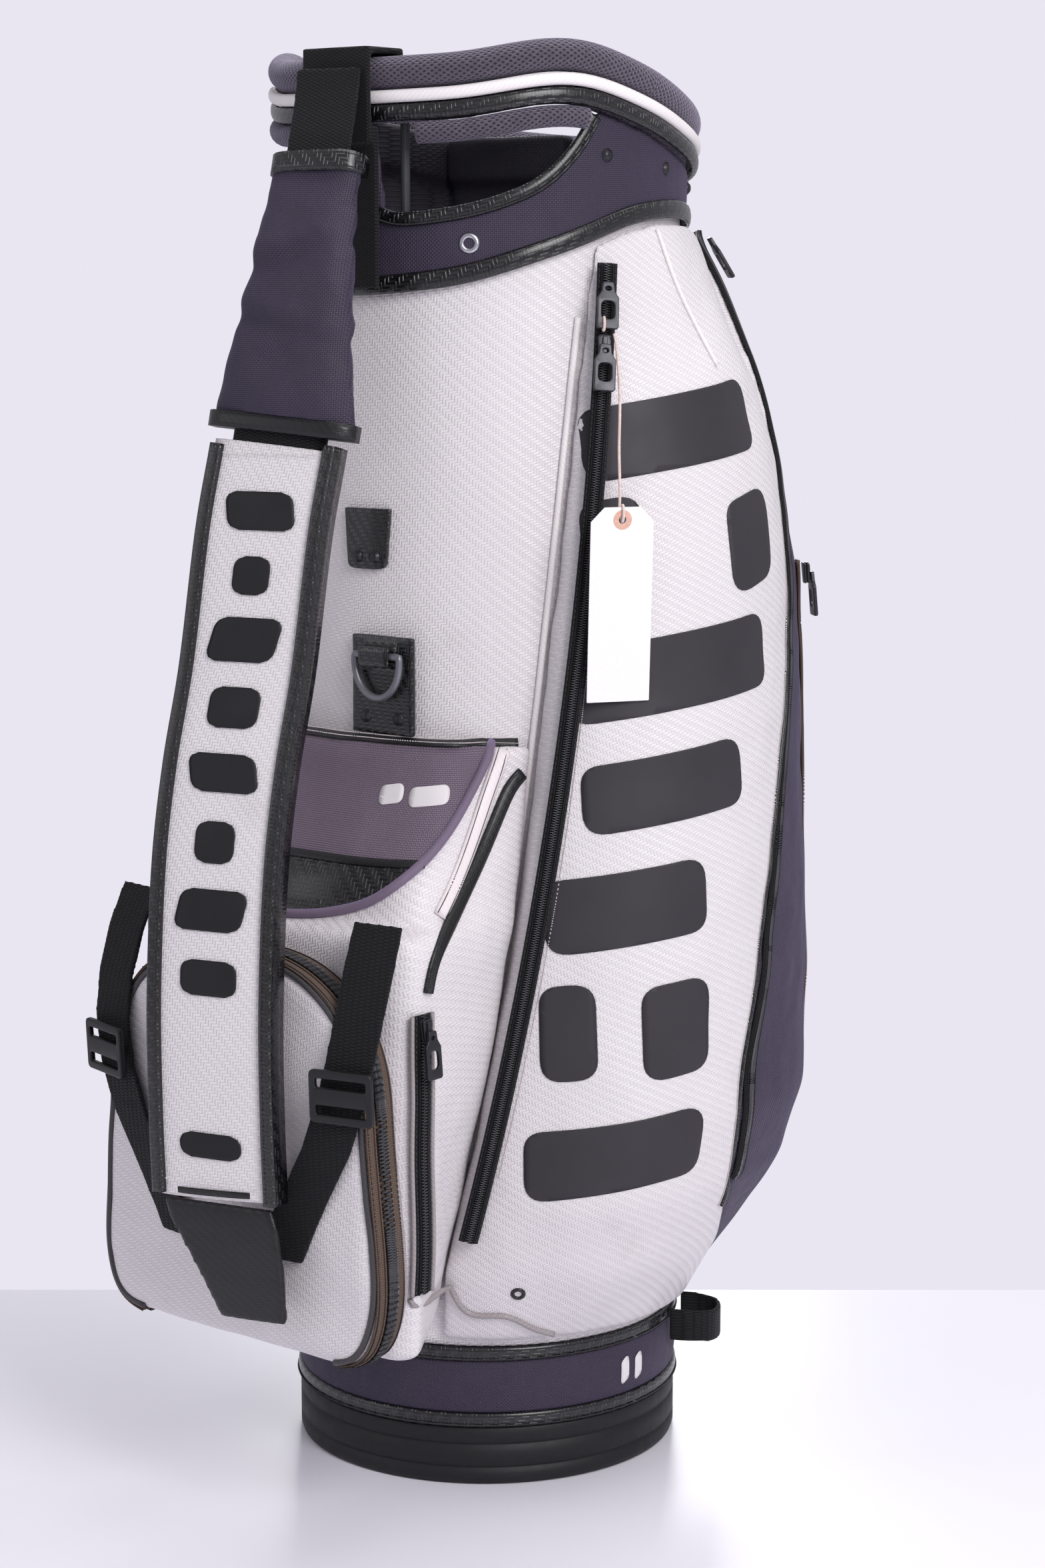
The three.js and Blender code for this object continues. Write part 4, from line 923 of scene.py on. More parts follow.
def make_tag():
    top = box_centre("swing_tag")
    outline = [(-TAG_W / 2, -TAG_L), (TAG_W / 2, -TAG_L), (TAG_W / 2, -TAG_CLIP), (TAG_W / 2 - TAG_CLIP, 0),
               (-TAG_W / 2 + TAG_CLIP, 0), (-TAG_W / 2, -TAG_CLIP)]
    facing = polar(1, TAG_FACING)
    down = Vector((0, 0, -1)) - facing * TAG_TILT
    place = frame_at(top, Vector((0, 0, 1)).cross(facing), down)
    place.translation = top - place.to_3x3() @ Vector((0, -TAG_L / 2, 0))
    hole = oval(0, -TAG_HOLE_DOWN, TAG_HOLE / 2, TAG_HOLE / 2)
    tag = plate("swing_tag_card", [rounded(outline, 0.0006, 2), hole], TAG_T * 0.8, 0.0001, place, "card",
                "swing_tag")
    keep(tag, "card_white", "swing_tag")
    for side in (1, -1):
        at = place @ Matrix.Translation((0, 0, side * TAG_T / 2))
        patch = plate("tag_patch_front" if side > 0 else "tag_patch_back",
                      [oval(0, -TAG_HOLE_DOWN, 0.0062, 0.0062, 28), oval(0, -TAG_HOLE_DOWN, 0.0026, 0.0026)],
                      0.0003, 0.00008, at, "patch", "swing_tag")
        keep(patch, "card_white")
    rotation = place.to_3x3()
    string_loop("tag_hole_loop", place @ Vector((0, -TAG_HOLE_DOWN / 2, 0)), rotation.col[1], rotation.col[2],
                0.0052, 0.0022, "swing_tag")
    return tag


def box_centre(node):
    low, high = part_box(node)
    return (low + high) / 2


# ---------------------------------------------------------------- shell, base and rim
def circle_heights(z, count=120):
    return np.full(count, z)


def make_base():
    low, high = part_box("base_cup")
    r, top = high.x, high.z
    outline = [(0, 0.0012), (r - 0.016, 0.0012), (r - 0.013, 0), (r - 0.0035, 0), (r - 0.001, 0.0012),
               (r, 0.004),
               (r, 0.0108), (r - 0.0011, 0.0116), (r - 0.0011, 0.0126), (r, 0.0134), (r, 0.0268),
               (r - 0.0011, 0.0276), (r - 0.0011, 0.0286), (r, 0.0294), (r, top - 0.0012), (r - 0.001, top),
               (r - 0.0032, top), (r - 0.0037, top - 0.0006), (r - 0.0037, 0.0075), (r - 0.006, 0.006),
               (0, 0.006)]
    keep(lathe("base_foot", outline, "rubber"), "rubber_black", "base_cup")
    low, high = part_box("base_band")
    profile = [(high.x - 0.0035, low.z)]
    for i in range(25):
        t = i / 24
        profile.append((high.x - 0.0004 + 0.0016 * math.sin(math.pi * t), lerp(low.z, high.z, t)))
    profile += [(high.x - 0.0035, high.z), (high.x - 0.0035, low.z)]
    keep(lathe("base_cloth_band", profile, "navy", steps=180), "nylon_navy", "base_band")
    for name, node in (("base_binding_lower", "base_trim_lower"), ("base_binding_upper", "base_trim_upper")):
        low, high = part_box(node)
        mid = (low.z + high.z) / 2
        section = band_section(high.z - low.z, 0.0018, 0.0009)
        trim = hoop(name, high.x - 0.0024, circle_heights(mid, 180), section, "carbon")
        keep(trim, "vinyl_black", node)
        points, normals = ring_path(high.x + 0.0002, circle_heights(mid - 0.0031, 360))
        keep(stitch_line(name + "_stitches", points, normals, "dark_thread", r=0.0004), "vinyl_black")


def make_shell():
    low = ring_heights("body_skin", 0.1290, down=False)
    high = ring_heights("body_skin", 0.1290)
    skin = wall("body_cloth", 0.1300, low, high, "white", 0.0024, 130, crease=0.0006)
    keep(skin, "vinyl_white", "body_skin")
    low = ring_heights("liner_tube", 0.119, down=False)
    high = ring_heights("liner_tube", 0.119)
    liner = wall("liner_cloth", 0.1203, low, high, "lining", 0.0022, 110, crease=0.0008)
    keep(liner, "liner_cloth", "liner_tube")


def make_rim():
    heights = ring_heights("rim_roll", 0.133) - 0.0105
    rim = hoop("rim_padding", 0.133, heights, round_section(0.0103, 28, flat=1.0), "mesh")
    keep(rim, "mesh_grey", "rim_roll")
    heights = ring_heights("rim_piping", 0.1424) - 0.0041
    section = [(x, y - 0.0042) for x, y in band_section(0.008, 0.0032, 0.0016, columns=10)]
    keep(hoop("rim_white_piping", 0.1428, heights, section, "piping"), "vinyl_white", "rim_piping")
    heights = ring_heights("rim_binding", 0.1405) - 0.0055
    section = [(x, y - 0.0034) for x, y in band_section(0.0108, 0.0028, 0.0014, columns=10)]
    keep(hoop("rim_black_binding", 0.1412, heights, section, "carbon"), "vinyl_black", "rim_binding")
    for side in ("right", "left"):
        node = "grip_roll_" + side
        skin = Skin(NODES[node])
        knots = []
        for i in range(361):
            hit = skin.shot(polar(0.136, i - 180, 1.2), (0, 0, -1))
            if hit is not None:
                knots.append((i - 180, hit.z - 0.007))
        points = respaced(np.array([list(polar(0.136, phi, z)) for phi, z in knots]), 0.003)
        normals = [list(Vector((x, y, 0)).normalized()) for x, y, _ in points]
        grip = sweep("grip_padding_" + side, points, normals, round_section(0.0068, 20, flat=1.0), "mesh")
        keep(grip, "mesh_grey", node)
    keep(cloth_copy("rim_band", ["rim_frame"], "mesh", voxel=0.0032, calm=9, crease=0.0003), "plastic_black",
         "rim_frame")


def make_cuff():
    cuff = cloth_copy("cuff_cloth", ["cuff_skirt"], "navy", voxel=0.0021, calm=12, crease=0.0006,
                      radius=0.134)
    keep(cuff, "nylon_navy", "cuff_skirt")
    heights = ring_heights("cuff_trim", 0.1362) - 0.006
    section = [(x, y - 0.0022) for x, y in band_section(0.0118, 0.0022, 0.0011, columns=10)]
    keep(hoop("cuff_binding", 0.1362, heights, section, "carbon"), "vinyl_black", "cuff_trim")


def make_dividers():
    for node in sorted(n for n in NODES if n.startswith("divider_")):
        soft = cloth_copy(node + "_cloth", [node], "lining", voxel=0.0028, calm=9, crease=0.0005, seed=3.0)
        keep(soft, "liner_cloth", node)


# ---------------------------------------------------------------- pockets
def make_pockets():
    side = cloth_copy("side_pocket_right_cloth", ["side_pocket_right"], "white", voxel=0.0026, calm=90,
                      crease=0.0012, slant=0.35)
    keep(side, "vinyl_white", "side_pocket_right")
    keep(mirrored(side), "vinyl_white", "side_pocket_left")
    back = cloth_copy("back_pocket_cloth", ["back_pocket"], "navy", voxel=0.003, calm=30, crease=0.0016)
    keep(back, "nylon_navy", "back_pocket")
    panel = cloth_copy("back_panel_cloth", ["back_panel"], "white", voxel=0.003, calm=30, crease=0.001)
    keep(panel, "vinyl_white", "back_panel")
    housing = cloth_copy("front_housing_cloth", ["front_pod", "valuables_pocket"], "white", voxel=0.0028,
                         calm=110, crease=0.0016, slant=0.3)
    keep(housing, "vinyl_white", "front_pod", "valuables_pocket")
    ball = cloth_copy("ball_pocket_cloth", ["ball_pocket"], "white", voxel=0.0026, calm=24, crease=0.0016,
                      radius=0.25, slant=0.3)
    keep(ball, "vinyl_white", "ball_pocket")
    shell = bpy.data.objects["body_cloth"]
    return {"side": Round(side), "back": Round(back, panel), "front": Round(housing, ball, side, shell),
            "edge": Round(side, shell), "ball": Skin(ball)}


def patch(name, surface, outlines, look, body="root", lift=0.0003, thick=0.0004, scale=0.18, cell=0.005):
    """A thin piece laid on a surface; its outlines hold pairs of angle and height in mm."""
    flat = [[(math.radians(phi) * scale, z * MM) for phi, z in outline] for outline in outlines]
    holder = flat_curve(name, flat)
    graph = bpy.context.evaluated_depsgraph_get()
    mesh = bmesh.new()
    mesh.from_mesh(holder.evaluated_get(graph).to_mesh())
    bpy.data.objects.remove(holder)
    bmesh.ops.remove_doubles(mesh, verts=mesh.verts, dist=1e-6)
    for axis in (0, 1):
        values = [v.co[axis] for v in mesh.verts]
        for cut in np.arange(min(values) + cell, max(values), cell):
            plane = [0, 0, 0]
            plane[axis] = 1
            parts = list(mesh.verts) + list(mesh.edges) + list(mesh.faces)
            bmesh.ops.bisect_plane(mesh, geom=parts, plane_co=[cut * p for p in plane], plane_no=plane)
    mesh.verts.index_update()
    verts, uvs = [], []
    for v in mesh.verts:
        verts.append(surface.at(math.degrees(v.co.x / scale), v.co.y, lift + thick)[0])
    faces = [tuple(v.index for v in f.verts) for f in mesh.faces if f.calc_area() > 1e-12]
    flat_verts = [v.co.copy() for v in mesh.verts]
    mesh.free()
    for f in faces:
        uvs += [(flat_verts[i].x, flat_verts[i].y) for i in f]
    made = piece(name, verts, faces, look, body, uvs)
    first = made.data.polygons[0]
    if first.normal.dot(Vector((first.center.x, first.center.y, 0))) < 0:
        made.data.flip_normals()
    thicken(made, thick)
    return made


def bar(phi, z, wide, high, lean=0.0, r=10.0):
    """Outline of a rounded bar on a surface, by its middle, size in degrees and mm, and lean in mm."""
    mm_each = 3.14
    box = [(-wide / 2, -high / 2 - lean), (wide / 2, -high / 2 + lean), (wide / 2, high / 2 + lean),
           (-wide / 2, high / 2 - lean)]
    turned = rounded([(x * mm_each, y) for x, y in box], r, 6)
    return [(phi + x / mm_each, z + y) for x, y in turned]


def ridge(name, surface, knots, r, look, slot="vinyl_white", step=0.004, lift=0.0, body="root"):
    """A piping laid along a line of angles and heights."""
    points, normals = surface.along(knots, step, lift)
    return keep(sweep(name, points, normals, round_section(r, 12, flat=0.35), look, body), slot)


def sides_of(points, normals):
    """The ways across a path whose surface faces along normals."""
    tangents = np.gradient(points, axis=0)
    return np.cross(tangents / np.linalg.norm(tangents, axis=1)[:, None], normals)


BOTH_EDGES = ((-1, "a"), (1, "b"))
TAPE_T = 0.0011  # a zip tape's thickness


def strip(name, surface, knots, width, look, slot, thick=0.0012, dome=0.0003, lift=0.0002, stitches=None):
    """A flat band along a line, with a row of stitches in from each edge."""
    points, normals = surface.along(knots, 0.004, lift, calm=6)
    band = keep(sweep(name, points, normals, band_section(width, thick, dome), look), slot)
    if stitches:
        sides = sides_of(points, normals)
        for side, letter in BOTH_EDGES:
            seam = points + sides * (side * (width / 2 - 0.0018)) + normals * (thick + dome * 0.3)
            keep(stitch_line(f"{name}_stitches_{letter}", seam, normals, stitches), slot)
    return band


def zip_run(name, points, normals, width, look, pitch, reach, high=0.0010):
    """Tape, teeth and seams of a closed zip along a path."""
    keep(sweep(name + "_tape", points, normals, band_section(width, TAPE_T, 0.0), look), "webbing_black")
    sides = sides_of(points, normals)
    raised = points + normals * TAPE_T
    teeth = tooth_rows(name + "_teeth", raised, normals, pitch, reach, pitch * 0.42, high=high)
    keep(teeth, "plastic_black")
    for side, letter in BOTH_EDGES:
        seam = raised + sides * (side * (width / 2 - 0.0016))
        keep(stitch_line(f"{name}_seam_{letter}", seam, normals, "dark_thread", r=0.0003), "webbing_black")
        cord_edge = raised + sides * (side * (reach + 0.0012)) + normals * 0.0001
        ribbed = sweep(f"{name}_rib_{letter}", cord_edge, normals, round_section(0.0006, 6), look)
        keep(ribbed, "webbing_black")


def side_zip_line(side):
    """Middle line of a front zip's tape, an arc about its slider's axis, and the way the tape looks."""
    joint = JOINTS[f"side_slider_{side}_run"]
    axis, centre = Vector(joint["axis"]).normalized(), Vector(joint["pos_m"])
    spots = [v.co - centre for v in NODES["side_zip_tape_" + side].data.vertices]
    offset = sum(spot.dot(axis) for spot in spots) / len(spots)
    flat = [spot - axis * spot.dot(axis) for spot in spots]
    ahead = sum(flat, Vector()).normalized()
    upward = axis.cross(ahead)
    if upward.z < 0:
        upward = -upward
    radius = sum(f.length for f in flat) / len(flat)
    angles = [math.atan2(f.dot(upward), f.dot(ahead)) for f in flat]
    line = []
    for t in np.linspace(max(angles), min(angles), 220):
        line.append(list(centre + axis * offset + (ahead * math.cos(t) + upward * math.sin(t)) * radius))
    facing = polar(1, -42 if side == "right" else -138)
    return np.array(line), np.tile(list(facing), (len(line), 1))


def make_side_zips():
    for side in ("right", "left"):
        points, normals = side_zip_line(side)
        tape = sweep(f"side_zip_{side}_tape", points, normals,
                     [(x, y - 0.0007) for x, y in band_section(0.013, 0.0013, 0.0)], "tape")
        keep(tape, "webbing_black", "side_zip_tape_" + side)
        sides = sides_of(points, normals)
        face = points + normals * 0.0006
        keep(tooth_rows(f"side_zip_{side}_coil", face, normals, 0.0016, 0.0026, 0.0008, high=0.0011),
             "plastic_black")
        for edge, letter in BOTH_EDGES:
            seam = face + sides * (edge * 0.0052)
            keep(stitch_line(f"side_zip_{side}_seam_{letter}", seam, normals, "dark_thread", r=0.0003),
                 "webbing_black")
            rib = face + sides * (edge * 0.0036)
            keep(sweep(f"side_zip_{side}_rib_{letter}", rib, normals, round_section(0.0005, 6), "tape"),
                 "webbing_black")


def both_sides(knots):
    """The same line on the left of the bag."""
    return [(-180 - phi, z) for phi, z in knots]


REAR_EDGE = ((30, 104), (28.6, 127), (7, 185), (4.8, 257), (8.9, 328), (20, 468), (35, 604), (38, 826))
SHIELD_EDGE = ((-48.5, 499), (-54.6, 468), (-59.4, 443), (-63.3, 427), (-70.1, 409), (-78.2, 399),
               (-84, 395.5),
               (-90, 394.5))
FOLD = ((-45.5, 497), (-50.5, 464), (-54.8, 430), (-58.2, 401))
SLASH = ((-40.6, 482), (-44.8, 470), (-53.9, 416), (-58, 382), (-59.2, 358))
FRONT_PIPING = ((3.4, 827), (5.8, 795), (9.4, 764), (11.2, 740))
FOOT_PIPING = ((-61.9, 163), (-60.2, 150), (-55.3, 125), (-45, 123), (-37.6, 112), (-31.5, 106))
MARKS = ((-3, 700, 44, 46, 10), (-20, 628, 13, 60, 3), (13, 628, 14, 60, 6), (-8, 548, 46, 48, 10),
         (-12, 474, 34, 44, 8), (-21, 398, 32, 48, 7), (-33, 318, 11, 62, 2), (-12, 318, 14, 62, 3),
         (-24, 236, 36, 46, 7))


def make_side_trim(on):
    surface = on["side"]
    made = []
    for i, (phi, z, wide, high, lean) in enumerate(MARKS):
        mark = patch(f"side_mark_right_{i + 1}", surface, [bar(phi, z, wide, high, lean, 14)], "print")
        made.append(keep(mark, "vinyl_black"))
    for mark in made:
        mirrored(mark)
    zip_points, _ = side_zip_line("right")
    zip_phi = [(math.degrees(math.atan2(y, x)), z / MM) for x, y, z in zip_points[::12] if 0.2 < z < 0.792]
    front = [(phi - 4.4, z) for phi, z in zip_phi]
    piping = ridge("side_front_piping_right", on["edge"], front, 0.0021, "piping", lift=0.0006)
    keep(mirrored(piping), "vinyl_white")
    points, normals = on["edge"].along([(phi + 3.4, z) for phi, z in zip_phi], 0.004, 0.0002)
    seam = keep(stitch_line("side_front_stitches_right", points, normals, "white_thread"), "vinyl_white")
    keep(mirrored(seam), "vinyl_white")
    # the foot piping is white, drawn grey as painted shade
    for name, knots, r, look in (("side_panel_piping_right", FRONT_PIPING, 0.0014, "piping"),
                                 ("side_foot_piping_right", FOOT_PIPING, 0.0018, "piping_in_shade")):
        line = ridge(name, surface if "foot" not in name else on["front"], knots, r, look)
        if "foot" in name:
            keep(mirrored(line), "vinyl_white")
    rear = [(phi - 1.6, z) for phi, z in REAR_EDGE[2:]]
    points, normals = surface.along(rear, 0.004, 0.0001)
    line = keep(stitch_line("side_rear_stitches_right", points, normals, "white_thread"), "vinyl_white")
    keep(mirrored(line), "vinyl_white")
    rear = [(phi - 0.5, z) for phi, z in REAR_EDGE[2:]]
    line = ridge("side_rear_piping_right", surface, rear, 0.0016, "carbon", "vinyl_black")
    keep(mirrored(line), "vinyl_black")


def make_back_trim(on):
    surface = on["back"]
    rear = [(phi + 3.6, z) for phi, z in REAR_EDGE[2:]]
    points, normals = surface.along(rear, 0.004, 0.0003, calm=8)
    zip_run("rear_zip_right", points, normals, 0.012, "tape", 0.0018, 0.0024)
    for made in [o for o in bpy.data.objects if o.name.startswith("rear_zip_right_")]:
        keep(mirrored(made), "webbing_black")
    arch = [(47, 604), (47, 420), (47.5, 250), (52, 190), (60, 163), (72, 151), (90, 148), (108, 151),
            (120, 163),
            (128, 190), (132.5, 250), (133, 420), (133, 604)]
    points, normals = surface.along(arch, 0.004, 0.0003, calm=12)
    zip_run("back_zip", points, normals, 0.022, "brown_tape", 0.0036, 0.0042, high=0.0016)
    for i, (phi, z, wide, high) in enumerate(((84, 452, 30, 13), (97, 424, 22, 13))):
        mark = patch(f"back_mark_{i + 1}", surface, [bar(phi, z, wide, high, 0, 5)], "black_print")
        keep(mark, "vinyl_black")
    for z in (664, 822):
        points, normals = surface.along([(42, z), (90, z), (138, z)], 0.004, 0.0002)
        keep(stitch_line(f"back_panel_stitches_{z}", points, normals, "white_thread"), "vinyl_white")


def make_front_trim(on):
    surface = on["front"]
    left = both_sides(SHIELD_EDGE)
    outline = list(SHIELD_EDGE[:-1]) + list(reversed(left))
    keep(patch("shield_nylon", surface, [outline], "mauve", thick=0.0008), "nylon_mauve")
    lower = [(-62.2, 431)] + [k for k in SHIELD_EDGE[:-1] if k[1] < 431]
    lower = lower + list(reversed(both_sides(lower)))
    keep(patch("shield_strip", surface, [lower], "carbon", lift=0.0009, thick=0.0008), "vinyl_black")
    whole = list(SHIELD_EDGE) + list(reversed(left[:-1]))
    ridge("shield_piping", surface, whole, 0.0030, "mauve_edge", "nylon_mauve", lift=0.0004)
    top = [(-41, 499.5), (-65, 500.5), (-90, 501), (-115, 500.5), (-139, 499.5)]
    strip("shield_binding", surface, top, 0.0085, "black_cloth", "vinyl_black", 0.0016, 0.0006, 0.0012,
          "white_thread")
    cross = [(-61.5, 431), (-75, 430), (-90, 430), (-105, 430), (-118.5, 431)]
    strip("shield_lower_binding", surface, cross, 0.006, "black_cloth", "vinyl_black", 0.0012, 0.0004, 0.0018)
    for i, (phi, z, wide) in enumerate(((-63, 470, 9), (-72, 470, 6))):
        outline = bar(phi, z, wide, 12, 1.5, 5)
        keep(patch(f"shield_mark_{i + 1}", surface, [outline], "pale_print", lift=0.0012), "vinyl_white")
    for side in ("right", "left"):
        turn = (lambda k: k) if side == "right" else both_sides
        strip(f"fold_{side}", surface, turn(FOLD), 0.010, "smooth_white", "vinyl_white", 0.0014, 0.0008,
              0.0004, "dark_thread")
        strip(f"slash_{side}", surface, turn(SLASH), 0.009, "black_cloth", "vinyl_black", 0.0016, 0.0008,
              0.0004, "dark_thread")
        make_accessory_zip(side, surface)
    make_ball_trim(on)


def make_accessory_zip(side, surface):
    sign = 1 if side == "right" else -1
    points, normals = [], []
    for i in range(60):
        z = lerp(0.345, 0.165, i / 59)
        y = -0.203
        hit = surface.skin.shot((sign * 0.4, y, z), (-sign, 0, 0))
        points.append(list(hit + Vector((sign * 0.0004, 0, 0))))
        normals.append([sign, 0, 0])
    points = np.array(points)
    for _ in range(10):
        points[1:-1] = 0.5 * points[1:-1] + 0.25 * (points[:-2] + points[2:])
    zip_run("accessory_zip_" + side, points, np.array(normals), 0.016, "tape", 0.0020, 0.0027)
    for off in (-0.0095, 0.0095):
        line = points + np.array([0, off, 0])
        name = f"accessory_piping_{side}_{'front' if off < 0 else 'rear'}"
        # these pipings are white, drawn grey as painted shade
        keep(sweep(name, line, np.array(normals), round_section(0.0015, 10, flat=0.4), "piping_in_shade"),
             "vinyl_white")


def ball_line(skin, y, low=-52, high=232, step=1.5, lift=0.0003):
    """A line round the ball pocket's side at a depth, from lower right over the top to lower left."""
    centre = Vector((0, y, 0.235))
    points, normals = [], []
    for i in range(int((high - low) / step) + 1):
        angle = math.radians(low + i * step)
        ray = Vector((math.cos(angle), 0, math.sin(angle)))
        hit = skin.shot(centre + ray * 0.3, -ray)
        if hit is not None:
            points.append(list(hit))
    points = respaced(np.array(points), 0.004)
    for _ in range(6):
        points[1:-1] = 0.5 * points[1:-1] + 0.25 * (points[:-2] + points[2:])
    for t in np.gradient(points, axis=0):
        normals.append(list(Vector((0, 1, 0)).cross(Vector(t)).normalized()))
    normals = np.array(normals)
    if (normals[len(points) // 2] * [0, 0, 1]).sum() < 0:
        normals = -normals
    return points + normals * lift, normals


def make_ball_trim(on):
    points, normals = ball_line(on["ball"], -0.2365)
    zip_run("ball_zip", points, normals, 0.026, "brown_tape", 0.0040, 0.0046, high=0.0018)
    # both ball pocket pipings are white: the front one is drawn in painted deep shade, the rear one in
    # painted shade
    for name, y, r, look in (("ball_front_piping", -0.2496, 0.0021, "piping_in_deep_shade"),
                             ("ball_rear_piping", -0.2232, 0.0019, "piping_in_shade")):
        points, normals = ball_line(on["ball"], y)
        keep(sweep(name, points, normals, round_section(r, 12, flat=0.4), look), "vinyl_white")


# ---------------------------------------------------------------- strap
STRAP_KNOTS = ((3, -157, 912), (9, -172, 876), (14, -190, 820), (15, -203, 765), (13, -215, 700),
               (11, -229, 640),
               (9, -243, 557), (8, -258, 495), (9, -270, 433), (13, -280, 351), (16, -283, 280),
               (18, -283, 228))
STRAP_YAW, STRAP_W, STRAP_T, PAD_T = 14, 0.092, 0.015, 0.021
PAD_LOW, PAD_HIGH, WHITE_LOW, WHITE_HIGH = 0.702, 0.872, 0.226, 0.694
PAD_TOP_W, PAD_LOW_W = 0.062, 0.104


def strap_stretch(high, low, step=0.004):
    """The strap's middle line between two heights, and the way its face looks."""
    line = spline([(x * MM, y * MM, z * MM) for x, y, z in STRAP_KNOTS], 0.002)
    chosen = respaced(np.array([p for p in line if low <= p[2] <= high]), step)
    across = polar(1, STRAP_YAW)
    tangents = np.gradient(chosen, axis=0)
    normals = [list((Vector(t).cross(across)).normalized() * -1) for t in tangents]
    if Vector(normals[0]).y > 0:
        normals = [[-a for a in n] for n in normals]
    return chosen, np.array(normals)


SEWN_REACH = 0.02  # how far a sewn end holds the cloth still


def puffed(made, pressure, cap, voxel=0.005):
    """Lets air into a padded piece, as cloth, and takes up the shape; its weave is laid out again."""
    welded = remeshed(made.data.copy(), voxel)
    soft = bpy.data.meshes.new(made.name + " soft")
    soft.from_pydata([tuple(v) for v in welded[0]], [], welded[1])
    soft.update()
    bag = bpy.data.objects.new("soft", soft)
    bpy.context.scene.collection.objects.link(bag)
    cloth = bag.modifiers.new("cloth", "CLOTH")
    cloth.settings.use_pressure = True
    cloth.settings.uniform_pressure_force = pressure
    cloth.settings.effector_weights.gravity = 0
    cloth.settings.tension_stiffness = cloth.settings.compression_stiffness = 30
    cloth.settings.bending_stiffness = 1.5
    cloth.collision_settings.use_self_collision = False
    cloth.point_cache.frame_start, cloth.point_cache.frame_end = 1, 20
    scene = bpy.context.scene
    for step in range(1, 21):
        scene.frame_set(step)
    graph = bpy.context.evaluated_depsgraph_get()
    result = bag.evaluated_get(graph).to_mesh()
    moved = np.array([list(v.co) for v in result.vertices])
    bag.evaluated_get(graph).to_mesh_clear()
    bpy.data.objects.remove(bag)
    scene.frame_set(1)
    shift = moved - welded[0]
    far = np.linalg.norm(shift, axis=1)[:, None]
    shift *= np.minimum(1, cap / np.maximum(far, 1e-9))
    low, high = welded[0][:, 2].min(), welded[0][:, 2].max()
    held = np.array([smooth((z - low) / SEWN_REACH) * smooth((high - z) / SEWN_REACH)
                     for z in welded[0][:, 2]])
    shift *= held[:, None] * np.array([[0.35, 1.0, 0.6]])
    verts = relaxed(welded[0] + shift, welded[1], 6)
    reshape(made, verts, welded[1])


def wrinkle(made, z, slope, reach=0.0055, share=0.22):
    """Pinches a strap piece along a slanted line across it, and lets it swell a little beside it."""
    line = spline([(x * MM, y * MM, h * MM) for x, y, h in STRAP_KNOTS], 0.002)
    middle_y = {}
    for x, y, h in line:
        middle_y[round(h, 3)] = y
    heights = np.array(sorted(middle_y))
    depths = np.array([middle_y[h] for h in heights])
    for v in made.data.vertices:
        away = (v.co.z - z - slope * v.co.x) / reach
        pinch = share * math.exp(-away * away) - 0.4 * share * math.exp(-((away - 2.2) ** 2))
        middle = float(np.interp(v.co.z, heights, depths))
        ripple = puckers(v.co.x * 300, v.co.z, 0.03, 0.0012, 5.0)
        v.co.y = middle + (v.co.y - middle) * (1 - pinch) + (ripple if v.co.y < middle else 0)
    made.data.update()


def reshape(made, verts, faces):
    """Gives a strap piece new vertices and faces, with its weave laid out across and up."""
    across = np.array(polar(1, STRAP_YAW))
    mesh = bpy.data.meshes.new(made.name)
    mesh.from_pydata([tuple(v) for v in verts], [], faces)
    mesh.polygons.foreach_set("use_smooth", [True] * len(mesh.polygons))
    layer = mesh.uv_layers.new(name=WEAVE)
    uvs = [(float(np.dot(verts[i], across)), float(verts[i][2])) for f in faces for i in f]
    layer.data.foreach_set("uv", np.asarray(uvs, np.float32).ravel())
    mesh.materials.append(made.data.materials[0])
    mesh.update()
    made.data = mesh
    finer = made.modifiers.new("finer", "SUBSURF")
    finer.levels = finer.render_levels = 1


def bend_with_strap(made):
    """Bakes the placement of a piece on a lower web into its mesh; nothing bends it between the bag and the
    strap's tab.
    """
    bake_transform(made)


def centred(section, thick):
    """A section moved so that it lies half its thickness either side of its path."""
    return [(x, y - thick / 2) for x, y in section]


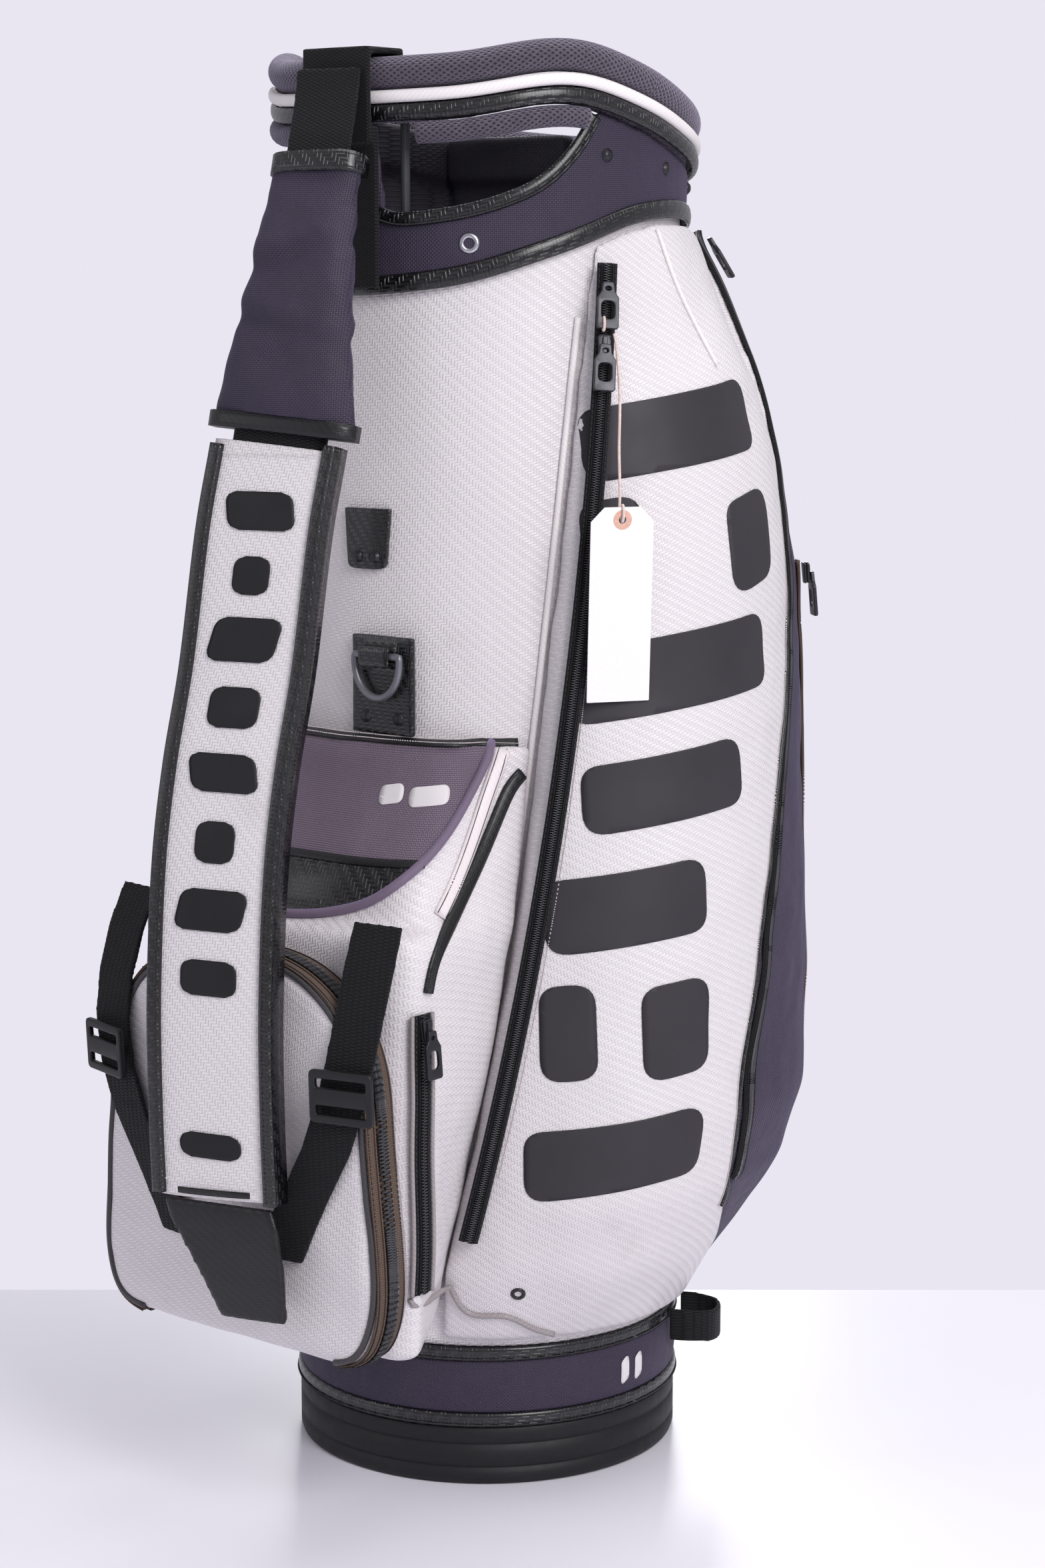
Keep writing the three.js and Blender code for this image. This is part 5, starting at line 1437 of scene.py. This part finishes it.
def make_strap():
    points, normals = strap_stretch(WHITE_HIGH, WHITE_LOW, 0.003)
    section = centred(band_section(STRAP_W - 0.003, STRAP_T - 0.003, 0.002, columns=24), STRAP_T)
    keep(sweep("strap_cloth", points, normals, section, "white", "strap"), "vinyl_white", "strap_panel")
    for side in (-1, 1):
        edge = points + np.array(polar(side * (STRAP_W / 2 - 0.0058), STRAP_YAW))
        section = centred(band_section(0.0115, STRAP_T, 0.0006, columns=12, edge=0.5), STRAP_T)
        bound = sweep("strap_binding_" + ("right" if side > 0 else "left"), edge, normals, section, "carbon",
                      "strap")
        keep(bound, "vinyl_black")
        seam = edge - np.array(polar(side * 0.002, STRAP_YAW)) + normals * (STRAP_T / 2 + 0.0004)
        keep(stitch_line("strap_binding_stitches_" + ("right" if side > 0 else "left"), seam, normals,
                         "dark_thread", "strap", r=0.0004), "vinyl_black")
    points, normals = strap_stretch(PAD_HIGH, PAD_LOW, 0.003)
    count = len(points)
    widths = [lerp(PAD_TOP_W, PAD_LOW_W, i / (count - 1)) / PAD_LOW_W for i in range(count)]
    section = centred(band_section(PAD_LOW_W, PAD_T - 0.004, 0.002, columns=24, edge=0.6), PAD_T)
    pad = sweep("strap_pad_cloth", points, normals, section, "navy", "strap", scale=widths)
    puffed(pad, 4.0, 0.006)
    wrinkle(pad, 0.806, 0.30)
    wrinkle(pad, 0.768, -0.2)
    keep(pad, "nylon_navy", "strap_pad")
    tab = cloth_copy("strap_tab_cloth", ["strap_tab"], "black_cloth", "strap", voxel=0.002, calm=9)
    keep(tab, "webbing_black", "strap_tab")
    top = cloth_copy("strap_top_webbing", ["strap_top_web"], "web", "strap", voxel=0.0011, calm=9,
                     crease=0.0003)
    keep(top, "webbing_black", "strap_top_web")
    bracket = cloth_copy("strap_bracket_cloth", ["strap_bracket"], "web", voxel=0.0016, calm=9, crease=0.0003)
    keep(bracket, "webbing_black", "strap_bracket")
    for side, sign in (("right", 1), ("left", -1)):
        node = "lower_web_" + side
        web = cloth_copy("lower_webbing_" + side, [node], "web", None, voxel=0.0012, calm=9, crease=0.0003)
        bend_with_strap(web)
        keep(web, "webbing_black", node)


def strap_patch(name, z, half_w, half_h, lean, look, lift=0.0003):
    """A rounded bar printed on the strap's face."""
    points, normals = strap_stretch(z + half_h, z - half_h, 0.002)
    n = len(points)
    width = []
    for i in range(n):
        t = abs(2 * i / (n - 1) - 1) * half_h
        inset = max(0.0, t - (half_h - 0.008))
        width.append(half_w - 0.008 + math.sqrt(max(0.0, 0.008 ** 2 - inset ** 2)))
    grid = []
    across = polar(1, STRAP_YAW)
    for i in range(n):
        row = []
        for k in range(17):
            x = lerp(-1, 1, k / 16) * width[i]
            dome = 0.002 * (1 - (2 * x / STRAP_W) ** 2)
            face = STRAP_T / 2 - 0.003 + 0.0003 + dome
            spot = Vector(points[i]) + across * (x + lean * (i / (n - 1) - 0.5))
            row.append(list(spot + Vector(normals[i]) * (face + lift)))
        grid.append(row)
    made = sheet_of(name, grid, look, "strap")
    thicken(made, 0.0005, 1)
    return keep(made, "vinyl_black")


STRAP_MARKS = ((0.652, 0.024, 0.013, 0.006), (0.614, 0.013, 0.013, 0.0), (0.574, 0.024, 0.014, -0.006),
               (0.532, 0.018, 0.013, 0.0), (0.492, 0.024, 0.013, 0.006), (0.450, 0.014, 0.013, 0.0),
               (0.408, 0.024, 0.014, -0.006), (0.366, 0.020, 0.012, 0.0), (0.262, 0.022, 0.0045, 0.0))


def make_strap_trim():
    for i, (z, half_w, half_h, lean) in enumerate(STRAP_MARKS):
        strap_patch(f"strap_mark_{i + 1}", z, half_w, max(half_h, 0.0085), lean, "black_print")
    for name, high, low, wide, thick, look in (
            ("strap_pad_binding_top", PAD_HIGH + 0.001, PAD_HIGH - 0.012, PAD_TOP_W + 0.003, PAD_T - 0.0005,
             "carbon"),
            ("strap_pad_binding_low", PAD_LOW + 0.010, PAD_LOW - 0.001, PAD_LOW_W + 0.001, PAD_T - 0.0005,
             "black_cloth"),
            ("strap_link_web", PAD_LOW + 0.002, WHITE_HIGH - 0.004, 0.066, 0.010, "web"),
            ("strap_low_web", WHITE_LOW + 0.009, WHITE_LOW + 0.0022, 0.07, 0.0152, "black_cloth")):
        points, normals = strap_stretch(high, low, 0.003)
        section = centred(band_section(wide, thick - 0.002, 0.002, columns=20, edge=0.5), thick)
        keep(sweep(name, points, normals, section, look, "strap"), "webbing_black")
    across = np.array(polar(1, STRAP_YAW))
    for z in (WHITE_HIGH - 0.006, WHITE_LOW + 0.012):
        points, normals = strap_stretch(z + 0.002, z - 0.002, 0.002)
        mid, out = points[len(points) // 2], normals[len(points) // 2]
        line = np.array([mid + across * x + out * (STRAP_T / 2 - 0.001 + 0.002 * (1 - (2 * x / STRAP_W) ** 2))
                         for x in np.linspace(-0.034, 0.034, 20)])
        name = "strap_hem_top" if z > 0.5 else "strap_hem_low"
        keep(stitch_line(name, line, np.tile(out, (20, 1)), "white_thread", "strap", r=0.0004), "vinyl_white")


PULL_OUTLINE = ((-0.0036, 0.0008), (0.0036, 0.0008), (0.0042, -0.005), (0.007, -0.0095), (0.007, -0.0285),
                (0.0058, -0.0298), (-0.0058, -0.0298), (-0.007, -0.0285), (-0.007, -0.0095),
                (-0.0042, -0.005))


def make_pull(node, joint_name, body):
    """A zip pull: an enamelled plate with a neck and a large window."""
    joint = JOINTS[joint_name]
    hinge, axis = Vector(joint["pos_m"]), Vector(joint["axis"]).normalized()
    middle = box_centre(node)
    down = middle - hinge
    down = (down - axis * down.dot(axis)).normalized()
    outward = Vector((middle.x, middle.y, 0))
    place = facing_frame(hinge, axis, down, outward)
    outline = rounded(PULL_OUTLINE, 0.0016, 4)
    window = rounded([(-0.0042, -0.0118), (0.0042, -0.0118), (0.0042, -0.0235), (-0.0042, -0.0235)],
                     0.0034, 6)
    eye = oval(0, -0.0036, 0.0018, 0.0014)
    pull = plate(node + "_plate", [outline, window, eye], 0.0024, 0.0006, place, "enamel", body)
    keep(pull, "metal_dark", node)
    return place


STRING_ACROSS = -0.0025  # where the string hangs on the upper pull's lower bar


def string_loop(name, centre, up, out, high, deep, body):
    """One turn of string round an edge or a bar."""
    up, out = Vector(up), Vector(out)
    turns = [2 * math.pi * i / 40 for i in range(40)]
    points = np.array([list(centre + up * (high * math.cos(a)) + out * (deep * math.sin(a))) for a in turns])
    normals = np.array([list(p - np.array(centre)) for p in points])
    ring = sweep(name, points, normals, round_section(STRING_D / 2, 8, flat=1.0), "string", body, closed=True)
    return keep(ring, "string_white")


def make_slider(node, body, pull_joint):
    """A zip slider: a shield-shaped body, a bridge over it, and a lower plate."""
    joint = JOINTS[pull_joint]
    axis = Vector(joint["axis"]).normalized()
    middle = box_centre(node)
    hinge = Vector(joint["pos_m"])
    pull = box_centre(node.replace("slider", "slider_pull") if node.startswith("side") else
                      node.replace("slider", "pull"))
    down = pull - hinge
    down = (down - axis * down.dot(axis)).normalized()
    outward = Vector((middle.x, middle.y, 0))
    place = facing_frame(middle, axis, down, outward)
    outline = rounded([(-0.0044, 0.0072), (0.0044, 0.0072), (0.0034, -0.0072), (-0.0034, -0.0072)], 0.0016, 4)
    for part, offset in (("upper", 0.0004), ("lower", -0.0017)):
        at = place @ Matrix.Translation((0, 0, offset))
        keep(plate(f"{node}_{part}", [outline], 0.0014, 0.0004, at, "enamel", body), "metal_dark")
    bridge = [(-0.0016, 0.006), (0.0016, 0.006), (0.0016, -0.005), (-0.0016, -0.005)]
    at = place @ Matrix.Translation((0, 0, 0.0017))
    made = plate(node + "_bridge", [rounded(bridge, 0.0012, 4)], 0.0014, 0.0005, at, "enamel", body)
    keep(made, "metal_dark", node)


def make_hardware():
    for side in ("right", "left"):
        upper = "side_upper_pull_" + side
        place = make_pull(upper, upper + "_lift", upper)
        if side == "right":
            string_loop("tag_string_loop", place @ Vector((STRING_ACROSS, -0.0266, 0)), place.to_3x3().col[1],
                        place.to_3x3().col[2], 0.0042, 0.0024, upper)
        make_slider("side_slider_" + side, "side_slider_" + side, f"side_slider_pull_{side}_lift")
        make_pull("side_slider_pull_" + side, f"side_slider_pull_{side}_lift", "side_slider_pull_" + side)
        make_pull("rear_zip_pull_" + side, f"rear_zip_pull_{side}_lift", "rear_zip_pull_" + side)
        make_slider("accessory_slider_" + side, "accessory_slider_" + side, f"accessory_pull_{side}_lift")
        make_pull("accessory_pull_" + side, f"accessory_pull_{side}_lift", "accessory_pull_" + side)
    make_slider("ball_slider", "ball_slider", "ball_pull_lift")
    make_pull("ball_pull", "ball_pull_lift", "ball_pull")
    make_slider("back_slider", "back_slider", "back_pull_lift")
    make_pull("back_pull", "back_pull_lift", "back_pull")


def stud(name, surface, phi, z, r, look, slot, hollow=False, lift=0.0):
    """A domed stud, or a rolled eyelet, on a surface."""
    spot, out = surface.at(phi, z * MM, lift)
    if hollow:
        outline = [(r * 0.45, -0.0012), (r * 0.48, 0.0006), (r * 0.62, 0.0013), (r * 0.8, 0.0012),
                   (r, 0.0003),
                   (r, -0.0008)]
    else:
        outline = [(0, 0.0024), (r * 0.4, 0.0022), (r * 0.75, 0.0014), (r * 0.8, 0.0008), (r, 0.0006),
                   (r, -0.0008), (0, -0.0008)]
    return keep(lathe(name, outline, look, centre=spot, axis=out, steps=32), slot)


def make_studs(on, cuff):
    for i, (phi, z) in enumerate(((-15, 873), (10.3, 866), (36, 855))):
        stud(f"cuff_stud_right_{i + 1}", cuff, phi, z, 0.0042, "enamel", "metal_dark")
        stud(f"cuff_stud_left_{i + 1}", cuff, -180 - phi, z, 0.0042, "enamel", "metal_dark")
    for name, phi in (("right", -54.3), ("left", -125.7)):
        stud("cuff_eyelet_" + name, cuff, phi, 818, 0.0068, "steel", "metal_grey", hollow=True)
    for name, phi in (("right", -42.5), ("left", -137.5)):
        stud("drain_eyelet_" + name, on["front"], phi, 140, 0.0050, "enamel", "metal_dark", hollow=True)


def make_emblem():
    """Two short slanted bars on the base, as a plain mark."""
    base = Round(bpy.data.objects["base_cloth_band"])
    for i, phi in enumerate((-5.2, 0.8)):
        keep(patch(f"base_mark_{i + 1}", base, [bar(phi, 67, 3.2, 17, 2.4, 4)], "pale_print", lift=0.0002),
             "vinyl_white")


HAND_LINE = ((9, 837), (18, 833), (35, 838), (49, 848), (58, 860), (66, 879), (71, 897))


def make_cuff_opening():
    for side in (1, -1):
        knots = spline([(turn, z, 0) for turn, z in HAND_LINE], 1.2)
        phis = [-90 + side * turn for turn, _, _ in knots]
        points = np.array([list(polar(0.1338, phi, z * MM)) for phi, (_, z, _) in zip(phis, knots)])
        normals = np.array([list(polar(1, phi)) for phi in phis])
        name = "hand_binding_" + ("right" if side > 0 else "left")
        keep(sweep(name, points, normals, band_section(0.009, 0.0022, 0.0010), "carbon"), "vinyl_black")
        seam = points + normals * 0.0030 + np.array([0, 0, -0.0032])
        keep(stitch_line(name + "_stitches", seam, normals, "dark_thread", r=0.0004), "vinyl_black")


def make_front_tabs(on):
    surface = on["edge"]
    tab = rounded([(-92, 611), (-79, 611), (-77.5, 650), (-93, 650)], [4, 4, 1, 1], 5)
    keep(patch("loop_tab", surface, [tab], "carbon", lift=0.0004, thick=0.003), "vinyl_black")
    for i, (phi, z) in enumerate(((-88.5, 619), (-82.5, 619))):
        stud(f"loop_tab_rivet_{i + 1}", surface, phi, z, 0.0040, "enamel", "metal_dark", lift=0.0034)
    tab = Skin(bpy.data.objects["towel_tab_cloth"])
    for i, x in enumerate((0.012, 0.040)):
        hit = tab.shot((x, -0.4, 0.516), (0, 1, 0))
        outline = [(0, 0.0022), (0.0016, 0.0020), (0.0030, 0.0012), (0.0034, 0.0006), (0.0042, 0.0004),
                   (0.0042, -0.0008), (0, -0.0008)]
        keep(lathe(f"towel_tab_rivet_{i + 1}", outline, "enamel", centre=hit, axis=(0, -1, 0), steps=28),
             "metal_dark")


def make_buckles():
    """A ladder lock on each lower web: a frame with two slots that the webbing runs through."""
    for side in (1, -1):
        middle = Vector((side * 0.100, -0.2575, 0.301))
        down = Vector((side * -0.20, 0.0, -1.0))
        origin = middle + Vector((side * 0.004, -0.0048, 0))
        place = frame_at(origin, (side * 0.97, 0.24, 0.0), down)
        if (place.to_3x3() @ Vector((0, 0, 1))).y > 0:
            place = place @ Matrix.Rotation(math.pi, 4, "Y")
        outline = rounded([(-0.022, -0.017), (0.022, -0.017), (0.022, 0.017), (-0.022, 0.017)], 0.004, 5)
        slots = []
        for y in (-0.0085, 0.0085):
            box = [(-0.0175, y - 0.003), (0.0175, y - 0.003), (0.0175, y + 0.003), (-0.0175, y + 0.003)]
            slots.append(rounded(box, 0.0015, 4))
        name = "web_buckle_" + ("right" if side > 0 else "left")
        buckle = keep(plate(name, [outline, *slots], 0.004, 0.0012, place, "plastic", None), "plastic_black")
        bend_with_strap(buckle)


def make_ring():
    low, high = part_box("towel_ring")
    centre = (low + high) / 2
    wide, tall, bar_r = (high.x - low.x) / 2 - 0.0025, (high.z - low.z) - 0.005, 0.0024
    top = high.z - 0.0025
    loop = []
    for i in range(49):
        a = math.pi * i / 48
        loop.append((centre.x + wide * math.cos(a), centre.y, top - 0.004 - (tall - 0.004) * math.sin(a)))
    loop = [(centre.x + wide, centre.y, top)] + loop + [(centre.x - wide, centre.y, top)]
    points = respaced(np.array(loop + [loop[0]]), 0.0015)[:-1]
    normals = np.tile([0.0, -1.0, 0.0], (len(points), 1))
    ring = sweep("towel_d_ring", points, normals, round_section(bar_r, 14, flat=1.0), "grey_metal",
                 "towel_ring", closed=True)
    keep(ring, "metal_grey", "towel_ring")


def make_small_parts():
    for node, look, slot, voxel in (("towel_tab", "carbon", "vinyl_black", 0.0015),
                                    ("base_handle", "web", "webbing_black", 0.0012)):
        keep(cloth_copy(node + "_cloth", [node], look, voxel=voxel, calm=6, crease=0.0002), slot, node)
    for node in NODES:
        if node.startswith("stay_"):
            NODES[node].data.materials.clear()
            NODES[node].data.materials.append(LOOKS["rod"])


def make_floor():
    """A pale floor whose far edge is level in the picture."""
    away = Vector((HEADING.x, HEADING.y, 0)).normalized()
    across = away.cross(Vector((0, 0, 1)))
    far = Vector((EYE.x, EYE.y, 0)) + away * FLOOR_BACK
    corners = [far - across * 6, far + across * 6, far + across * 6 - away * 8, far - across * 6 - away * 8]
    mesh = bpy.data.meshes.new("floor")
    mesh.from_pydata([tuple(c) for c in corners], [], [(0, 1, 2, 3)])
    floor = bpy.data.objects.new("floor", mesh)
    bpy.context.scene.collection.objects.link(floor)
    s = Shader("studio floor", 0.3, Specular_IOR_Level=0.4)
    mesh.materials.append(s.finish(rgb("#f1eff7"), s.span(s.noise(0.2), 0.25, 0.4)))


def build():
    make_camera()
    string, path = make_string()
    make_tag()
    make_lights()
    make_floor()
    make_base()
    make_shell()
    make_rim()
    make_cuff()
    make_dividers()
    on = make_pockets()
    make_side_zips()
    make_side_trim(on)
    make_back_trim(on)
    make_front_trim(on)
    make_strap()
    make_strap_trim()
    make_small_parts()
    make_hardware()
    make_ring()
    make_studs(on, Round(bpy.data.objects["cuff_cloth"]))
    make_emblem()
    make_cuff_opening()
    make_front_tabs(on)
    make_buckles()


build()
